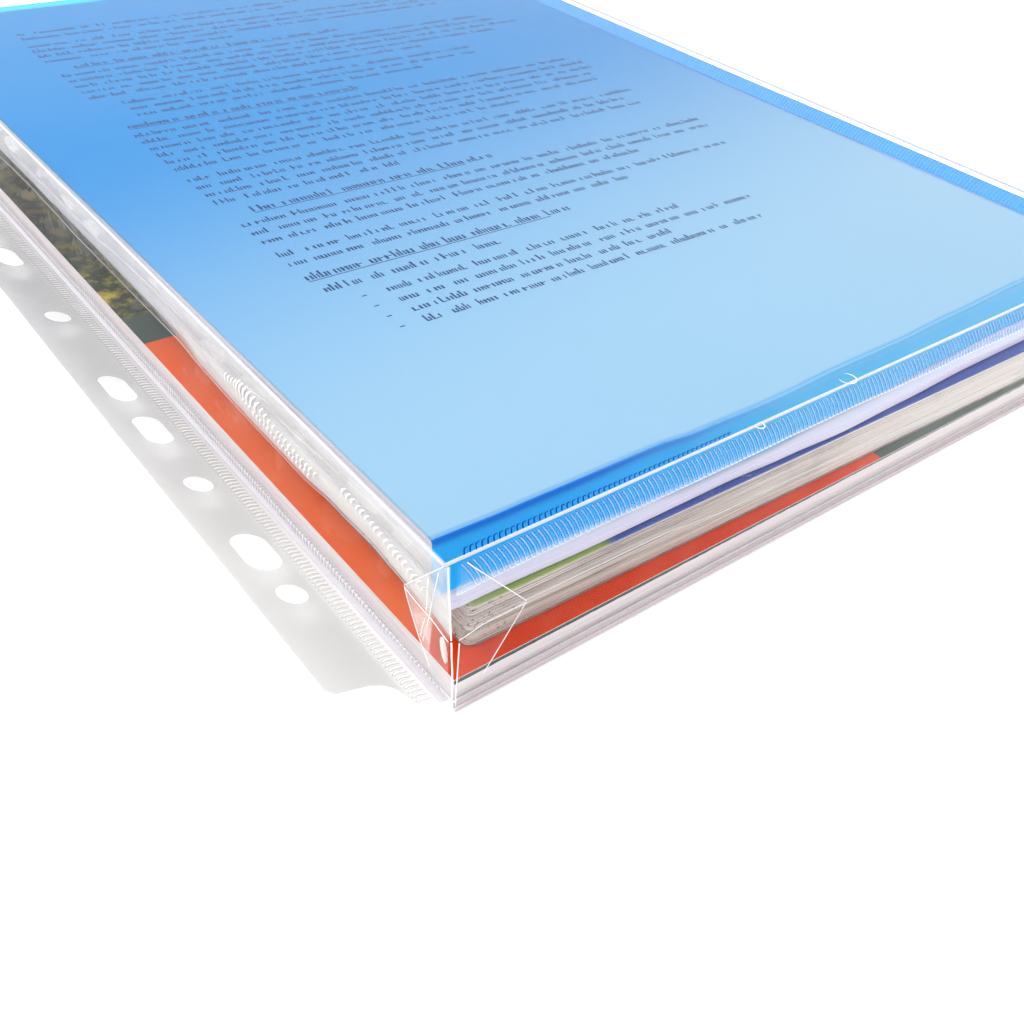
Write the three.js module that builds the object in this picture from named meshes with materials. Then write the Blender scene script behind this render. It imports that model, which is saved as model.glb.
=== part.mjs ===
// An expanding document pocket: a clear film pocket with gusset walls and a punched binder strip,
// loaded with a flap folder, a book and a catalogue. Millimetres, +Z up.
//
// The pocket lies on its back panel. +X runs along its bottom edge, away from the binder strip,
// and +Y runs up the pocket towards its mouth. While it is built, x = 0 is the outer face of the
// left gusset and y = 0 that of the bottom gusset; at the end the whole group is centred.

import * as THREE from "three";

// Film and welds
const filmThickness = 0.2;
const foldClearance = 0.3; // between two stretches of film on either side of a fold
const layerClearance = 0.05; // between two layers of film that lie on each other
const flangeWidth = 0.6; // the panels stand out this far past the gusset walls
const seamWidth = 0.55;
const seamThickness = 0.4;
const cornerFoldSize = 0.8;
const cornerFoldTravel = 0.7; // room for the front panel to come down when the gussets bulge

// Pocket
const pocketWidth = 224;
const pocketHeight = 312;
const gussetHeight = 34.4;
const topWeldHeight = 5.7;
const footWeldHeight = 3.8;
const weldEndInset = 1.5;

// Corner tucks, measured along a gusset from the corner
const tuckReach = 16; // where the crease meets the tuck
const tuckFootReach = 6.5;
const tuckFootHeight = 5.5;
const tuckCornerHeight = 2;
const tuckTipWidth = 1.2;

// Binder strip
const stripWidth = 18.5;
const stripThickness = 0.35;
const stripTilt = THREE.MathUtils.degToRad(16.3);
const stripFoldOffset = 0.2; // from the back panel's flange to the strip's fold line
const stripFootInset = 10.5; // from the pocket's foot to the wide part of the strip
const stripMouthInset = 6.5;
const stripRootStart = 2;
const stripRootWidth = 5;
const stripCornerRadius = 1.5;
const stripFilletRadius = 5;
const stripWeldStart = 1.2;
const stripWeldWidth = 3.6;
const stripWeldThickness = 0.15;

// Punching of the binder strip: round holes and slots, measured along it from its centre
const holeLineOffset = 10;
const roundHoleDiameter = 6.4;
const slotWidth = 6.6;
const slotLength = 12.5;
const wideSlotWidth = 8;
const wideSlotLength = 13;
const wideSlotBridge = 4.8; // film left between a wide slot and the outermost round hole
const roundHolePositions = [0, 80, 120];
const slotPositions = [37.5, 57];
const outermostHoleEdge = roundHolePositions.at(-1) - roundHoleDiameter / 2;
const wideSlotPosition = outermostHoleEdge - wideSlotBridge - wideSlotLength / 2;

// Catalogue: the lowest document, in the size of the sheets
const catalogueThickness = 5.4;
const catalogueCoverThickness = 0.25;

// Book: the middle document, trimmed smaller than the catalogue
const bookTrimX = 10;
const bookTrimY = 22;
const bookThickness = 10.5;
const bookCoverThickness = 0.35;
const bookSetBackX = 5.8; // its corner beside the strip, from the catalogue's
const bookSetBackY = 4.5;
const bookTurn = THREE.MathUtils.degToRad(1.1);
const bookCornerRadius = 3;

// Flap folder: the upper document, whose cover turns down over its foot as a flap
const folderMarginX = 10; // the cover is larger than its sheets by this much
const folderMarginY = 5;
const folderCoverThickness = 0.4;
const folderFlapHeight = 12.4;
const folderBendRadius = 1;
const folderSheetInset = 0.6;

// Clearances of the documents in the pocket
const folderSideClearance = 1.8;
const folderFootClearance = 7.8;
const catalogueClearance = 1; // to the film at the left and at the foot
const mouthMargin = 2; // the film runs past the folder at the mouth
const frontClearance = 0.9; // between the folder and the front panel
const documentClearance = 0.2; // between two documents, and under the lowest
const sheetClearance = 0.05; // between a cover and its pages

// The documents take their size from the pocket
const folderWidth = pocketWidth - 2 * (filmThickness + folderSideClearance);
const folderLength = pocketHeight - filmThickness - folderFootClearance - mouthMargin;
const sheetWidth = folderWidth - folderMarginX;
const sheetLength = folderLength - folderMarginY;
const bookWidth = sheetWidth - bookTrimX;
const bookLength = sheetLength - bookTrimY;
const folderTop = gussetHeight - filmThickness - frontClearance;

// The binder strip's wide part, with the hole pattern at its middle
const stripTabLow = stripFootInset;
const stripTabHigh = pocketHeight - stripMouthInset;
const stripCentreY = (stripTabLow + stripTabHigh) / 2;

// Heights of the folds
const wallFoot = filmThickness + foldClearance;
const wallTop = gussetHeight - filmThickness - foldClearance;
const creaseHeight = gussetHeight / 2;
const lowerWallTop = creaseHeight - foldClearance / 2;
const upperWallFoot = creaseHeight + foldClearance / 2;
const wallEnd = cornerFoldSize + foldClearance; // where a gusset starts beside a corner fold

const material = {
  film: film(0xeef2f6, 0.3),
  frostedFilm: film(0xe4e7ea, 0.45),
  weld: film(0xffffff, 0.5),
  folderCover: film(0x3a9fe3, 0.6),
  folderBack: film(0xdcecf8, 0.7),
  paper: paper(0xf1eef4),
  bookPaper: paper(0xbeb2af),
  bookCover: paper(0x5f7f5a),
  catalogueCover: paper(0xcd3714),
  cataloguePaper: paper(0xdad2da),
  catalogueBack: paper(0x28423c),
};

function film(color, opacity) {
  return new THREE.MeshStandardMaterial({
    color,
    opacity,
    transparent: true,
    roughness: 0.12,
    metalness: 0,
  });
}

function paper(color) {
  return new THREE.MeshStandardMaterial({ color, roughness: 0.7, metalness: 0 });
}

const pocket = new THREE.Group();

function add(name, geometry, finish, parent = pocket) {
  const mesh = new THREE.Mesh(geometry, finish);
  mesh.name = name;
  parent.add(mesh);
  return mesh;
}

// A box between two corners
function slab(name, finish, [x0, y0, z0], [x1, y1, z1]) {
  const mesh = add(name, new THREE.BoxGeometry(x1 - x0, y1 - y0, z1 - z0), finish);
  mesh.position.set((x0 + x1) / 2, (y0 + y1) / 2, (z0 + z1) / 2);
  return mesh;
}

// An outline of points, or a ready Shape, drawn out to a thickness
function drawnOut(outline, thickness) {
  const shape = outline instanceof THREE.Shape
    ? outline
    : new THREE.Shape(outline.map(([u, v]) => new THREE.Vector2(u, v)));
  const options = { depth: thickness, bevelEnabled: false, curveSegments: 10 };
  return new THREE.ExtrudeGeometry(shape, options);
}

// Turns a mesh so that its outline's two axes and its thickness lie along the given directions
function turn(mesh, across, up, through) {
  const basis = new THREE.Matrix4().makeBasis(across, up, through);
  mesh.quaternion.setFromRotationMatrix(basis);
}

const alongX = new THREE.Vector3(1, 0, 0);
const alongY = new THREE.Vector3(0, 1, 0);
const alongZ = new THREE.Vector3(0, 0, 1);

// A rectangle with round corners at its low end in y and square ones at its high end
function roundedFoot(x0, x1, y0, y1, radius) {
  const shape = new THREE.Shape();
  shape.moveTo(x0 + radius, y0);
  shape.lineTo(x1 - radius, y0);
  shape.absarc(x1 - radius, y0 + radius, radius, -Math.PI / 2, 0);
  shape.lineTo(x1, y1);
  shape.lineTo(x0, y1);
  shape.lineTo(x0, y0 + radius);
  shape.absarc(x0 + radius, y0 + radius, radius, Math.PI, Math.PI * 1.5);
  return shape;
}

// The two panels, each with the seams along its edges
function makePanels() {
  const low = -flangeWidth;
  const right = pocketWidth + flangeWidth;
  const frontFoot = gussetHeight - filmThickness;
  slab("back_panel", material.film, [low, low, 0], [right, pocketHeight, filmThickness]);
  slab(
    "front_panel",
    material.film,
    [low, low, frontFoot],
    [right, pocketHeight, gussetHeight],
  );

  const seamIn = flangeWidth + layerClearance;
  const seamOut = seamIn + seamWidth;
  const frontSeamFoot = gussetHeight - seamThickness;
  for (const [side, foot] of [
    ["back", 0],
    ["front", frontSeamFoot],
  ]) {
    const top = foot + seamThickness;
    slab(
      `${side}_seam_bottom`,
      material.weld,
      [low, -seamOut, foot],
      [pocketWidth + seamOut, -seamIn, top],
    );
    slab(
      `${side}_seam_right`,
      material.weld,
      [pocketWidth + seamIn, low, foot],
      [pocketWidth + seamOut, pocketHeight, top],
    );
  }
  slab(
    "front_seam_left",
    material.weld,
    [-seamOut, low, frontSeamFoot],
    [-seamIn, pocketHeight, gussetHeight],
  );
}

// The three gusset walls, each in two halves that meet at its crease, with their weld bands
function makeGussets() {
  const bandIn = layerClearance;
  const bandOut = bandIn + filmThickness;
  const topWeldFoot = wallTop - topWeldHeight;
  const footWeldTop = wallFoot + footWeldHeight;
  const walls = {
    left: (near, far, z0, z1, end) => [
      [-near, wallEnd + end, z0],
      [-far, pocketHeight - end, z1],
    ],
    bottom: (near, far, z0, z1, end) => [
      [wallEnd + end, -near, z0],
      [pocketWidth - wallEnd - end, -far, z1],
    ],
    right: (near, far, z0, z1, end) => [
      [pocketWidth + near, wallEnd + end, z0],
      [pocketWidth + far, pocketHeight - end, z1],
    ],
  };
  for (const [side, corners] of Object.entries(walls)) {
    const wall = (name, finish, near, far, z0, z1, end) => {
      const [a, b] = corners(near, far, z0, z1, end);
      const from = a.map((value, axis) => Math.min(value, b[axis]));
      const to = a.map((value, axis) => Math.max(value, b[axis]));
      slab(`${side}_${name}`, finish, from, to);
    };
    wall("gusset_lower", material.film, -filmThickness, 0, wallFoot, lowerWallTop, 0);
    wall("gusset_upper", material.film, -filmThickness, 0, upperWallFoot, wallTop, 0);
    wall("top_weld", material.weld, bandIn, bandOut, topWeldFoot, wallTop, weldEndInset);
    wall("foot_weld", material.weld, bandIn, bandOut, wallFoot, footWeldTop, weldEndInset);
  }
}

// The film folds round a bottom corner as a narrow upright strip, one for each half of the walls
function makeCornerFolds() {
  const halfTravel = cornerFoldTravel / 2;
  const halves = {
    lower: [wallFoot, creaseHeight - halfTravel],
    upper: [creaseHeight + halfTravel, wallTop],
  };
  for (const [half, [z0, z1]] of Object.entries(halves)) {
    slab(
      `left_corner_fold_${half}`,
      material.weld,
      [0, 0, z0],
      [cornerFoldSize, cornerFoldSize, z1],
    );
    slab(
      `right_corner_fold_${half}`,
      material.weld,
      [pocketWidth - cornerFoldSize, 0, z0],
      [pocketWidth, cornerFoldSize, z1],
    );
  }
}

// The spare film of a bottom corner, tucked flat against both gussets. Its outline runs from the
// corner to the end of the crease, measured along the gusset and upwards.
function makeCornerTucks() {
  const near = cornerFoldSize;
  const outlines = {
    upper: [
      [near, upperWallFoot],
      [tuckReach, upperWallFoot],
      [near + tuckTipWidth, wallTop],
      [near, wallTop],
    ],
    lower: [
      [near, tuckCornerHeight],
      [tuckFootReach, tuckFootHeight],
      [tuckReach, lowerWallTop],
      [near, lowerWallTop],
    ],
  };
  const out = layerClearance + filmThickness + layerClearance;
  for (const [half, outline] of Object.entries(outlines)) {
    const geometry = drawnOut(outline, filmThickness);
    const mirrored = drawnOut(
      outline.map(([u, z]) => [pocketWidth - u, z]),
      filmThickness,
    );
    const outwards = alongY.clone().negate();

    const onBottomLeft = add(`bottom_left_tuck_${half}`, geometry, material.weld);
    turn(onBottomLeft, alongX, alongZ, outwards);
    onBottomLeft.position.y = -out;

    const onBottomRight = add(`bottom_right_tuck_${half}`, mirrored, material.weld);
    turn(onBottomRight, alongX, alongZ, outwards);
    onBottomRight.position.y = -out;

    const onLeft = add(`left_tuck_${half}`, geometry, material.weld);
    turn(onLeft, alongY, alongZ, alongX);
    onLeft.position.x = -out - filmThickness;

    const onRight = add(`right_tuck_${half}`, geometry, material.weld);
    turn(onRight, alongY, alongZ, alongX);
    onRight.position.x = pocketWidth + out;
  }
}

// The strip's outline: across it from the fold, u is negative outwards, and v runs along it.
// Its wide tab stops short of both ends of the narrow root that is welded to the pocket.
function stripOutline(rootEdge) {
  const rootHigh = pocketHeight - stripRootStart;
  const corner = stripCornerRadius;
  const fillet = stripFilletRadius;
  const shape = new THREE.Shape();
  shape.moveTo(-rootEdge, stripRootStart);
  shape.lineTo(-rootEdge, rootHigh);
  shape.lineTo(-stripRootWidth, rootHigh);
  shape.lineTo(-stripRootWidth, stripTabHigh);
  shape.lineTo(-stripWidth + corner, stripTabHigh);
  shape.absarc(-stripWidth + corner, stripTabHigh - corner, corner, Math.PI / 2, Math.PI);
  shape.lineTo(-stripWidth, stripTabLow + corner);
  shape.absarc(-stripWidth + corner, stripTabLow + corner, corner, Math.PI, Math.PI * 1.5);
  shape.lineTo(-stripRootWidth - fillet, stripTabLow);
  shape.absarc(-stripRootWidth - fillet, stripTabLow - fillet, fillet, Math.PI / 2, 0, true);
  shape.lineTo(-stripRootWidth, stripRootStart);
  return shape;
}

// A slot with round ends, its length along v
function slotPath(u, v, width, length) {
  const radius = width / 2;
  const reach = length / 2 - radius;
  const path = new THREE.Path();
  path.absarc(u, v + reach, radius, 0, Math.PI);
  path.absarc(u, v - reach, radius, Math.PI, Math.PI * 2);
  return path;
}

function roundPath(u, v, diameter) {
  const path = new THREE.Path();
  path.absarc(u, v, diameter / 2, 0, Math.PI * 2);
  return path;
}

// Both ways from the centre, and once at the centre itself
function mirroredPositions(positions) {
  return positions.flatMap((p) => (p === 0 ? [0] : [-p, p]));
}

function makeBinderStrip() {
  const strip = new THREE.Group();
  strip.position.set(-flangeWidth - stripFoldOffset, 0, wallFoot - foldClearance / 2);
  strip.rotation.y = stripTilt;
  pocket.add(strip);

  const outline = stripOutline(foldClearance);
  for (const p of mirroredPositions(roundHolePositions)) {
    outline.holes.push(roundPath(-holeLineOffset, stripCentreY + p, roundHoleDiameter));
  }
  for (const p of mirroredPositions(slotPositions)) {
    outline.holes.push(slotPath(-holeLineOffset, stripCentreY + p, slotWidth, slotLength));
  }
  for (const p of mirroredPositions([wideSlotPosition])) {
    const v = stripCentreY + p;
    outline.holes.push(slotPath(-holeLineOffset, v, wideSlotWidth, wideSlotLength));
  }
  const sheet = add("punched_strip", drawnOut(outline, stripThickness), material.frostedFilm, strip);
  sheet.position.z = -stripThickness / 2;

  const weldEnd = stripWeldStart + stripWeldWidth;
  const weldLow = stripRootStart + weldEndInset;
  const weldHigh = pocketHeight - stripRootStart - weldEndInset;
  const weldOutline = [
    [-weldEnd, weldLow],
    [-stripWeldStart, weldLow],
    [-stripWeldStart, weldHigh],
    [-weldEnd, weldHigh],
  ];
  const weldBody = drawnOut(weldOutline, stripWeldThickness);
  const weld = add("strip_weld_band", weldBody, material.weld, strip);
  weld.position.z = stripThickness / 2 + foldClearance / 2;
}

// The catalogue: a back cover, a page block, a front cover and a spine on its right
function makeCatalogue() {
  const x0 = filmThickness + catalogueClearance;
  const x1 = x0 + sheetWidth;
  const y0 = filmThickness + catalogueClearance;
  const y1 = y0 + sheetLength;
  const z0 = filmThickness + documentClearance;
  const z1 = z0 + catalogueThickness;
  const cover = catalogueCoverThickness;
  const pagesRight = x1 - cover - sheetClearance;
  slab("catalogue_back_cover", material.catalogueBack, [x0, y0, z0], [pagesRight, y1, z0 + cover]);
  slab(
    "catalogue_pages",
    material.cataloguePaper,
    [x0, y0, z0 + cover + sheetClearance],
    [pagesRight, y1, z1 - cover - sheetClearance],
  );
  slab("catalogue_front_cover", material.catalogueCover, [x0, y0, z1 - cover], [pagesRight, y1, z1]);
  slab("catalogue_spine", material.catalogueCover, [x1 - cover, y0, z0], [x1, y1, z1]);
  return z1;
}

// The book, whose corners at the foot are worn round, with its spine on the right. It lies a
// little askew, turned about its corner beside the strip.
function makeBook(seat) {
  const book = new THREE.Group();
  const filmAndGap = filmThickness + catalogueClearance;
  const foot = seat + documentClearance;
  book.position.set(filmAndGap + bookSetBackX, filmAndGap + bookSetBackY, foot);
  book.rotation.z = -bookTurn;
  pocket.add(book);
  const cover = bookCoverThickness;
  const right = bookWidth - cover - sheetClearance;
  const pagesTop = bookThickness - cover - sheetClearance;
  const sheet = (name, finish, low, high) => {
    const outline = roundedFoot(0, right, 0, bookLength, bookCornerRadius);
    add(name, drawnOut(outline, high - low), finish, book).position.z = low;
  };
  sheet("book_back_cover", material.bookCover, 0, cover);
  sheet("book_pages", material.bookPaper, cover + sheetClearance, pagesTop);
  sheet("book_front_cover", material.bookCover, bookThickness - cover, bookThickness);
  const spineSize = [cover, bookLength - bookCornerRadius, bookThickness];
  const spine = add("book_spine", new THREE.BoxGeometry(...spineSize), material.bookCover, book);
  spine.position.set(
    bookWidth - cover / 2,
    (bookLength + bookCornerRadius) / 2,
    bookThickness / 2,
  );
  return foot + bookThickness;
}

// The flap folder: a back sheet, loose pages and a cover whose foot turns down as a flap
function makeFolder(seat) {
  const x0 = filmThickness + folderSideClearance;
  const x1 = x0 + folderWidth;
  const y0 = filmThickness + folderFootClearance;
  const y1 = y0 + folderLength;
  const z0 = seat + documentClearance;
  const z1 = folderTop;
  const cover = folderCoverThickness;
  const sheetsFoot = y0 + folderBendRadius + sheetClearance;
  slab("folder_back_cover", material.folderBack, [x0, sheetsFoot, z0], [x1, y1, z0 + cover]);
  slab(
    "folder_pages",
    material.paper,
    [x0 + folderSheetInset, sheetsFoot, z0 + cover + sheetClearance],
    [
      x0 + folderSheetInset + sheetWidth,
      sheetsFoot + sheetLength,
      z1 - cover - sheetClearance,
    ],
  );

  const bend = new THREE.Shape();
  const flapFoot = z1 - folderFlapHeight;
  bend.moveTo(y1, z1);
  bend.lineTo(y0 + folderBendRadius, z1);
  bend.absarc(y0 + folderBendRadius, z1 - folderBendRadius, folderBendRadius, Math.PI / 2, Math.PI);
  bend.lineTo(y0, flapFoot);
  bend.lineTo(y0 + cover, flapFoot);
  const innerRadius = folderBendRadius - cover;
  bend.lineTo(y0 + cover, z1 - folderBendRadius);
  bend.absarc(
    y0 + folderBendRadius,
    z1 - folderBendRadius,
    innerRadius,
    Math.PI,
    Math.PI / 2,
    true,
  );
  bend.lineTo(y1, z1 - cover);
  const front = add("folder_front_cover", drawnOut(bend, folderWidth), material.folderCover);
  turn(front, alongY, alongZ, alongX);
  front.position.x = x0;
}

makePanels();
makeGussets();
makeCornerFolds();
makeCornerTucks();
makeBinderStrip();
makeFolder(makeBook(makeCatalogue()));

// The origin is the middle of the footprint, on the surface that the pocket lies on
const bounds = new THREE.Box3().setFromObject(pocket, true);
const middle = bounds.getCenter(new THREE.Vector3());
pocket.position.set(-middle.x, -middle.y, -bounds.min.z);

export default pocket;
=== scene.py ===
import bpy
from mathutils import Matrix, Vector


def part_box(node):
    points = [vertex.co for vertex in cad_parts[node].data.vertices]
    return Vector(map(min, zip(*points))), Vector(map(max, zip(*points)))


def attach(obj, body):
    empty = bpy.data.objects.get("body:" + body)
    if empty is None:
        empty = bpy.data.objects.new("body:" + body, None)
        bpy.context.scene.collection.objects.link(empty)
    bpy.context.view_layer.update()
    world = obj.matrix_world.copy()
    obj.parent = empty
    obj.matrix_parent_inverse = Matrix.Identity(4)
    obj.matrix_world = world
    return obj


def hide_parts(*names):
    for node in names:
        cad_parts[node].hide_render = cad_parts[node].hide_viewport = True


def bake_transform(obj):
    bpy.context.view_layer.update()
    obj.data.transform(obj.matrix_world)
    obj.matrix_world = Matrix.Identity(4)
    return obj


bl_info = {
    "name": "Expanding document pocket",
    "version": (1, 0, 0),
    "blender": (4, 5, 0),
    "location": "3D View > Sidebar > Pocket",
    "description": "Dresses a clear film pocket, its welds and the documents that it holds",
    "category": "Object",
}

import bpy
import numpy as np

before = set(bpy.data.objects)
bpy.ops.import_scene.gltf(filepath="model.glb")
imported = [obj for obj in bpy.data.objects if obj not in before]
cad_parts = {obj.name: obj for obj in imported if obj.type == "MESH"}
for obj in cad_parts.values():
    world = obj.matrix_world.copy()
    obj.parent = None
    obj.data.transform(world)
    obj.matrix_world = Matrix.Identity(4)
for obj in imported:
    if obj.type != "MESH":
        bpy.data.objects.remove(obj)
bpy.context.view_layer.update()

# Places are worked out in millimetres in the pocket's own frame: x = 0 is the outer face of the
# left gusset, y = 0 that of the bottom gusset, z = 0 the table. placed() brings them to the row.
MM = 0.001
ORIGIN = np.array([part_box("left_gusset_lower")[0].x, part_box("bottom_gusset_lower")[0].y, 0.0])


def edges(node):
    """The lowest and highest corner of a CAD node, in millimetres in the pocket's frame."""
    low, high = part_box(node)
    return (np.array(low) - ORIGIN) / MM, (np.array(high) - ORIGIN) / MM


def placed(points):
    """Millimetres in the pocket's frame to metres in the row's frame."""
    return np.asarray(points, float) * MM + ORIGIN


PANEL_HIGH = edges("front_panel")[1]
WIDTH = edges("right_gusset_lower")[1][0]
LENGTH = PANEL_HIGH[1]
HEIGHT = PANEL_HIGH[2]
WALL_FOOT = edges("left_gusset_lower")[0][2]
WALL_TOP = edges("left_gusset_upper")[1][2]
LOWER_WALL_TOP = edges("left_gusset_lower")[1][2]
UPPER_WALL_FOOT = edges("left_gusset_upper")[0][2]
CREASE = (LOWER_WALL_TOP + UPPER_WALL_FOOT) / 2
TOP_WELD_FOOT = edges("left_top_weld")[0][2]
FOOT_WELD_TOP = edges("left_foot_weld")[1][2]
FILM = 0.2


# Sizes and colours that a user would change


def linear(red, green, blue):
    """A colour given in 0 to 255 as screens show it, in the linear values that shaders take."""
    c = np.array([red, green, blue]) / 255
    return tuple(np.where(c <= 0.04045, c / 12.92, ((c + 0.055) / 1.055) ** 2.4))


def colour(name, description, red, green, blue):
    """A colour setting with its default in 0 to 255."""
    return bpy.props.FloatVectorProperty(
        name=name,
        description=description,
        subtype="COLOR",
        size=3,
        min=0,
        max=1,
        default=linear(red, green, blue),
    )


def length(name, description, default):
    """A length setting in millimetres."""
    return bpy.props.FloatProperty(name=name, description=description, default=default, min=0)


def share(name, description, default):
    """A setting between 0 and 1."""
    return bpy.props.FloatProperty(
        name=name, description=description, default=default, min=0, max=1, subtype="FACTOR"
    )


class PocketFilmSettings(bpy.types.PropertyGroup):
    """The clear film and its welds"""

    haze: share("Film haze", "Share of white that a layer of film adds", 0.006)
    # The white of a rib is partly the weld's own haze and partly painted highlight
    weld_haze: share("Weld haze", "Share of white in a welded rib", 0.2)
    rib_pitch: length("Rib pitch", "From one weld rib to the next, mm", 1.2)
    rib_radius: length("Rib radius", "Half the width of a weld rib, mm", 0.3)
    edge_radius: length("Edge radius", "Half the width of a welded edge, mm", 0.32)
    crumple: length("Crumple", "How far the walls wave in and out, mm", 0.18)
    tint: colour("Film tint", "Colour of the clear film", 247, 246, 244)
    weld_colour: colour("Weld colour", "Colour of welded film", 253, 252, 251)


class PocketStripSettings(bpy.types.PropertyGroup):
    """The punched binder strip"""

    haze: share("Strip haze", "Share of white in the frosted strip", 0.1)
    tint: colour("Strip tint", "Colour of what is seen through the strip", 234, 234, 234)
    tint_far: colour("Strip tint, far", "The same towards the mouth", 224, 224, 225)
    sag: length("Strip sag", "How far the strip waves up and down, mm", 0.3)


class PocketFolderSettings(bpy.types.PropertyGroup):
    """The flap folder"""

    # The cover's lighter colour and the flap's far colour hold a painted sheen.
    cover: colour("Cover", "Colour of white paper seen through the cover", 156, 202, 222)
    cover_deep: colour("Cover, deep", "The same towards the mouth", 0, 142, 208)
    flap: colour("Flap", "The same for the cover's flap", 0, 186, 252)
    flap_sheen: colour("Flap, far", "The same further along the flap", 84, 204, 250)
    bend: colour("Bend", "The same in the cover's bend", 0, 122, 218)
    paper: colour("Sheets", "Colour of the folder's sheets", 232, 228, 240)
    print_colour: colour("Print", "Colour of the printed lines", 4, 34, 92)
    line_pitch: length("Line pitch", "From one printed line to the next, mm", 5.0)


class PocketBookSettings(bpy.types.PropertyGroup):
    """The book and the catalogue"""

    book_paper: colour("Book pages", "Colour of the book's pages", 204, 194, 188)
    book_green: colour("Book cover, left", "Colour of its cover near the strip", 142, 162, 84)
    book_blue: colour("Book cover, right", "Colour of its cover further on", 62, 84, 160)
    orange: colour("Catalogue, orange", "Colour of the corner of the catalogue", 212, 56, 8)
    green: colour("Catalogue, green", "Colour of the band beside it", 62, 82, 76)
    leaf: colour("Catalogue, leaf", "Lighter colour of the mottled part", 150, 140, 50)
    catalogue_paper: colour("Catalogue pages", "Colour of the catalogue's pages", 228, 220, 222)


class PocketStageSettings(bpy.types.PropertyGroup):
    """Floor, light and camera"""

    focal_length: bpy.props.FloatProperty(
        name="Focal length", description="Lens in mm on a 36 mm sensor", default=38.73
    )
    azimuth: bpy.props.FloatProperty(
        name="Azimuth", description="Heading of the camera, degrees", default=-41.32
    )
    elevation: bpy.props.FloatProperty(
        name="Elevation", description="Height of the camera, degrees", default=39.67
    )
    roll: bpy.props.FloatProperty(
        name="Roll", description="Turn of the camera about its view, degrees", default=5.55
    )
    world_light: bpy.props.FloatProperty(
        name="Room light", description="Strength of the light from all round", default=1.05
    )
    key_light: bpy.props.FloatProperty(
        name="Key light", description="Power of the large soft lamp, watts", default=5.0
    )


# Surfaces


def grid(nu, nv):
    """Two arrays that run from 0 to 1 along the rows and along the columns of a grid."""
    return np.meshgrid(np.linspace(0, 1, nu), np.linspace(0, 1, nv), indexing="ij")


def smooth(t):
    """Smooth step: 3 t squared minus 2 t cubed, held between 0 and 1."""
    t = np.clip(t, 0, 1)
    return t * t * (3 - 2 * t)


def curve(x, points):
    """A smooth line through (place, value) pairs: between two pairs the value follows a smooth
    step of the share of the way between their places."""
    places, values = np.array(points, float).T
    k = np.clip(np.searchsorted(places, x, side="right") - 1, 0, len(places) - 2)
    t = (x - places[k]) / (places[k + 1] - places[k])
    return values[k] + (values[k + 1] - values[k]) * smooth(t)


WAVE_COUNT = 9


def crumple(a, b, seed, shortest, longest):
    """Smooth irregular waves between about -1 and 1: a sum of sines of a and b along random
    directions, with wavelengths from shortest to longest, each weighted by its wavelength. Along
    a line b is 0."""
    rng = np.random.default_rng(seed)
    total = np.zeros(np.broadcast(a, b).shape)
    waves = np.geomspace(shortest, longest, WAVE_COUNT)
    for wave in waves:
        heading, phase = rng.uniform(0, 2 * np.pi, 2)
        way = a * np.cos(heading) + b * np.sin(heading)
        total = total + wave * np.sin(2 * np.pi * way / wave + phase)
    return total / waves.sum() * 1.8


def grid_faces(nu, nv, first=0):
    """The quads of a grid of nu by nv points, numbered along v and then along u."""
    i, j = np.meshgrid(np.arange(nu - 1), np.arange(nv - 1), indexing="ij")
    a = (first + i * nv + j).ravel()
    return np.stack([a, a + nv, a + nv + 1, a + 1], 1)


def ring_faces(levels, m):
    """The quads between closed loops of m points, one loop after the other."""
    k, i = np.meshgrid(np.arange(levels - 1), np.arange(m), indexing="ij")
    a, b = (k * m + i).ravel(), (k * m + (i + 1) % m).ravel()
    return np.stack([a, b, b + m, a + m], 1)


def unit(vectors):
    """The same vectors with length 1."""
    return vectors / (np.linalg.norm(vectors, axis=-1, keepdims=True) + 1e-12)


def shell(points, thickness):
    """A closed skin of even thickness on a grid of points (nu, nv, 3). Each point goes half the
    thickness to either side along the normal, the cross product of the two ways of the grid."""
    nu, nv = points.shape[:2]
    along_u, along_v = np.gradient(points, axis=0), np.gradient(points, axis=1)
    half = unit(np.cross(along_u, along_v)) * thickness / 2
    verts = np.concatenate([(points + half).reshape(-1, 3), (points - half).reshape(-1, 3)])
    upper = grid_faces(nu, nv)
    n = nu * nv
    lower = upper[:, ::-1] + n
    index = np.arange(n).reshape(nu, nv)
    rims = []
    for line, turned in (
        (index[:, 0], False),
        (index[:, -1], True),
        (index[0, :], True),
        (index[-1, :], False),
    ):
        a, b = line[:-1], line[1:]
        rim = np.stack([a + n, b + n, b, a], 1)
        rims.append(rim[:, ::-1] if turned else rim)
    return verts, np.concatenate([upper, lower] + rims)


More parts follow.
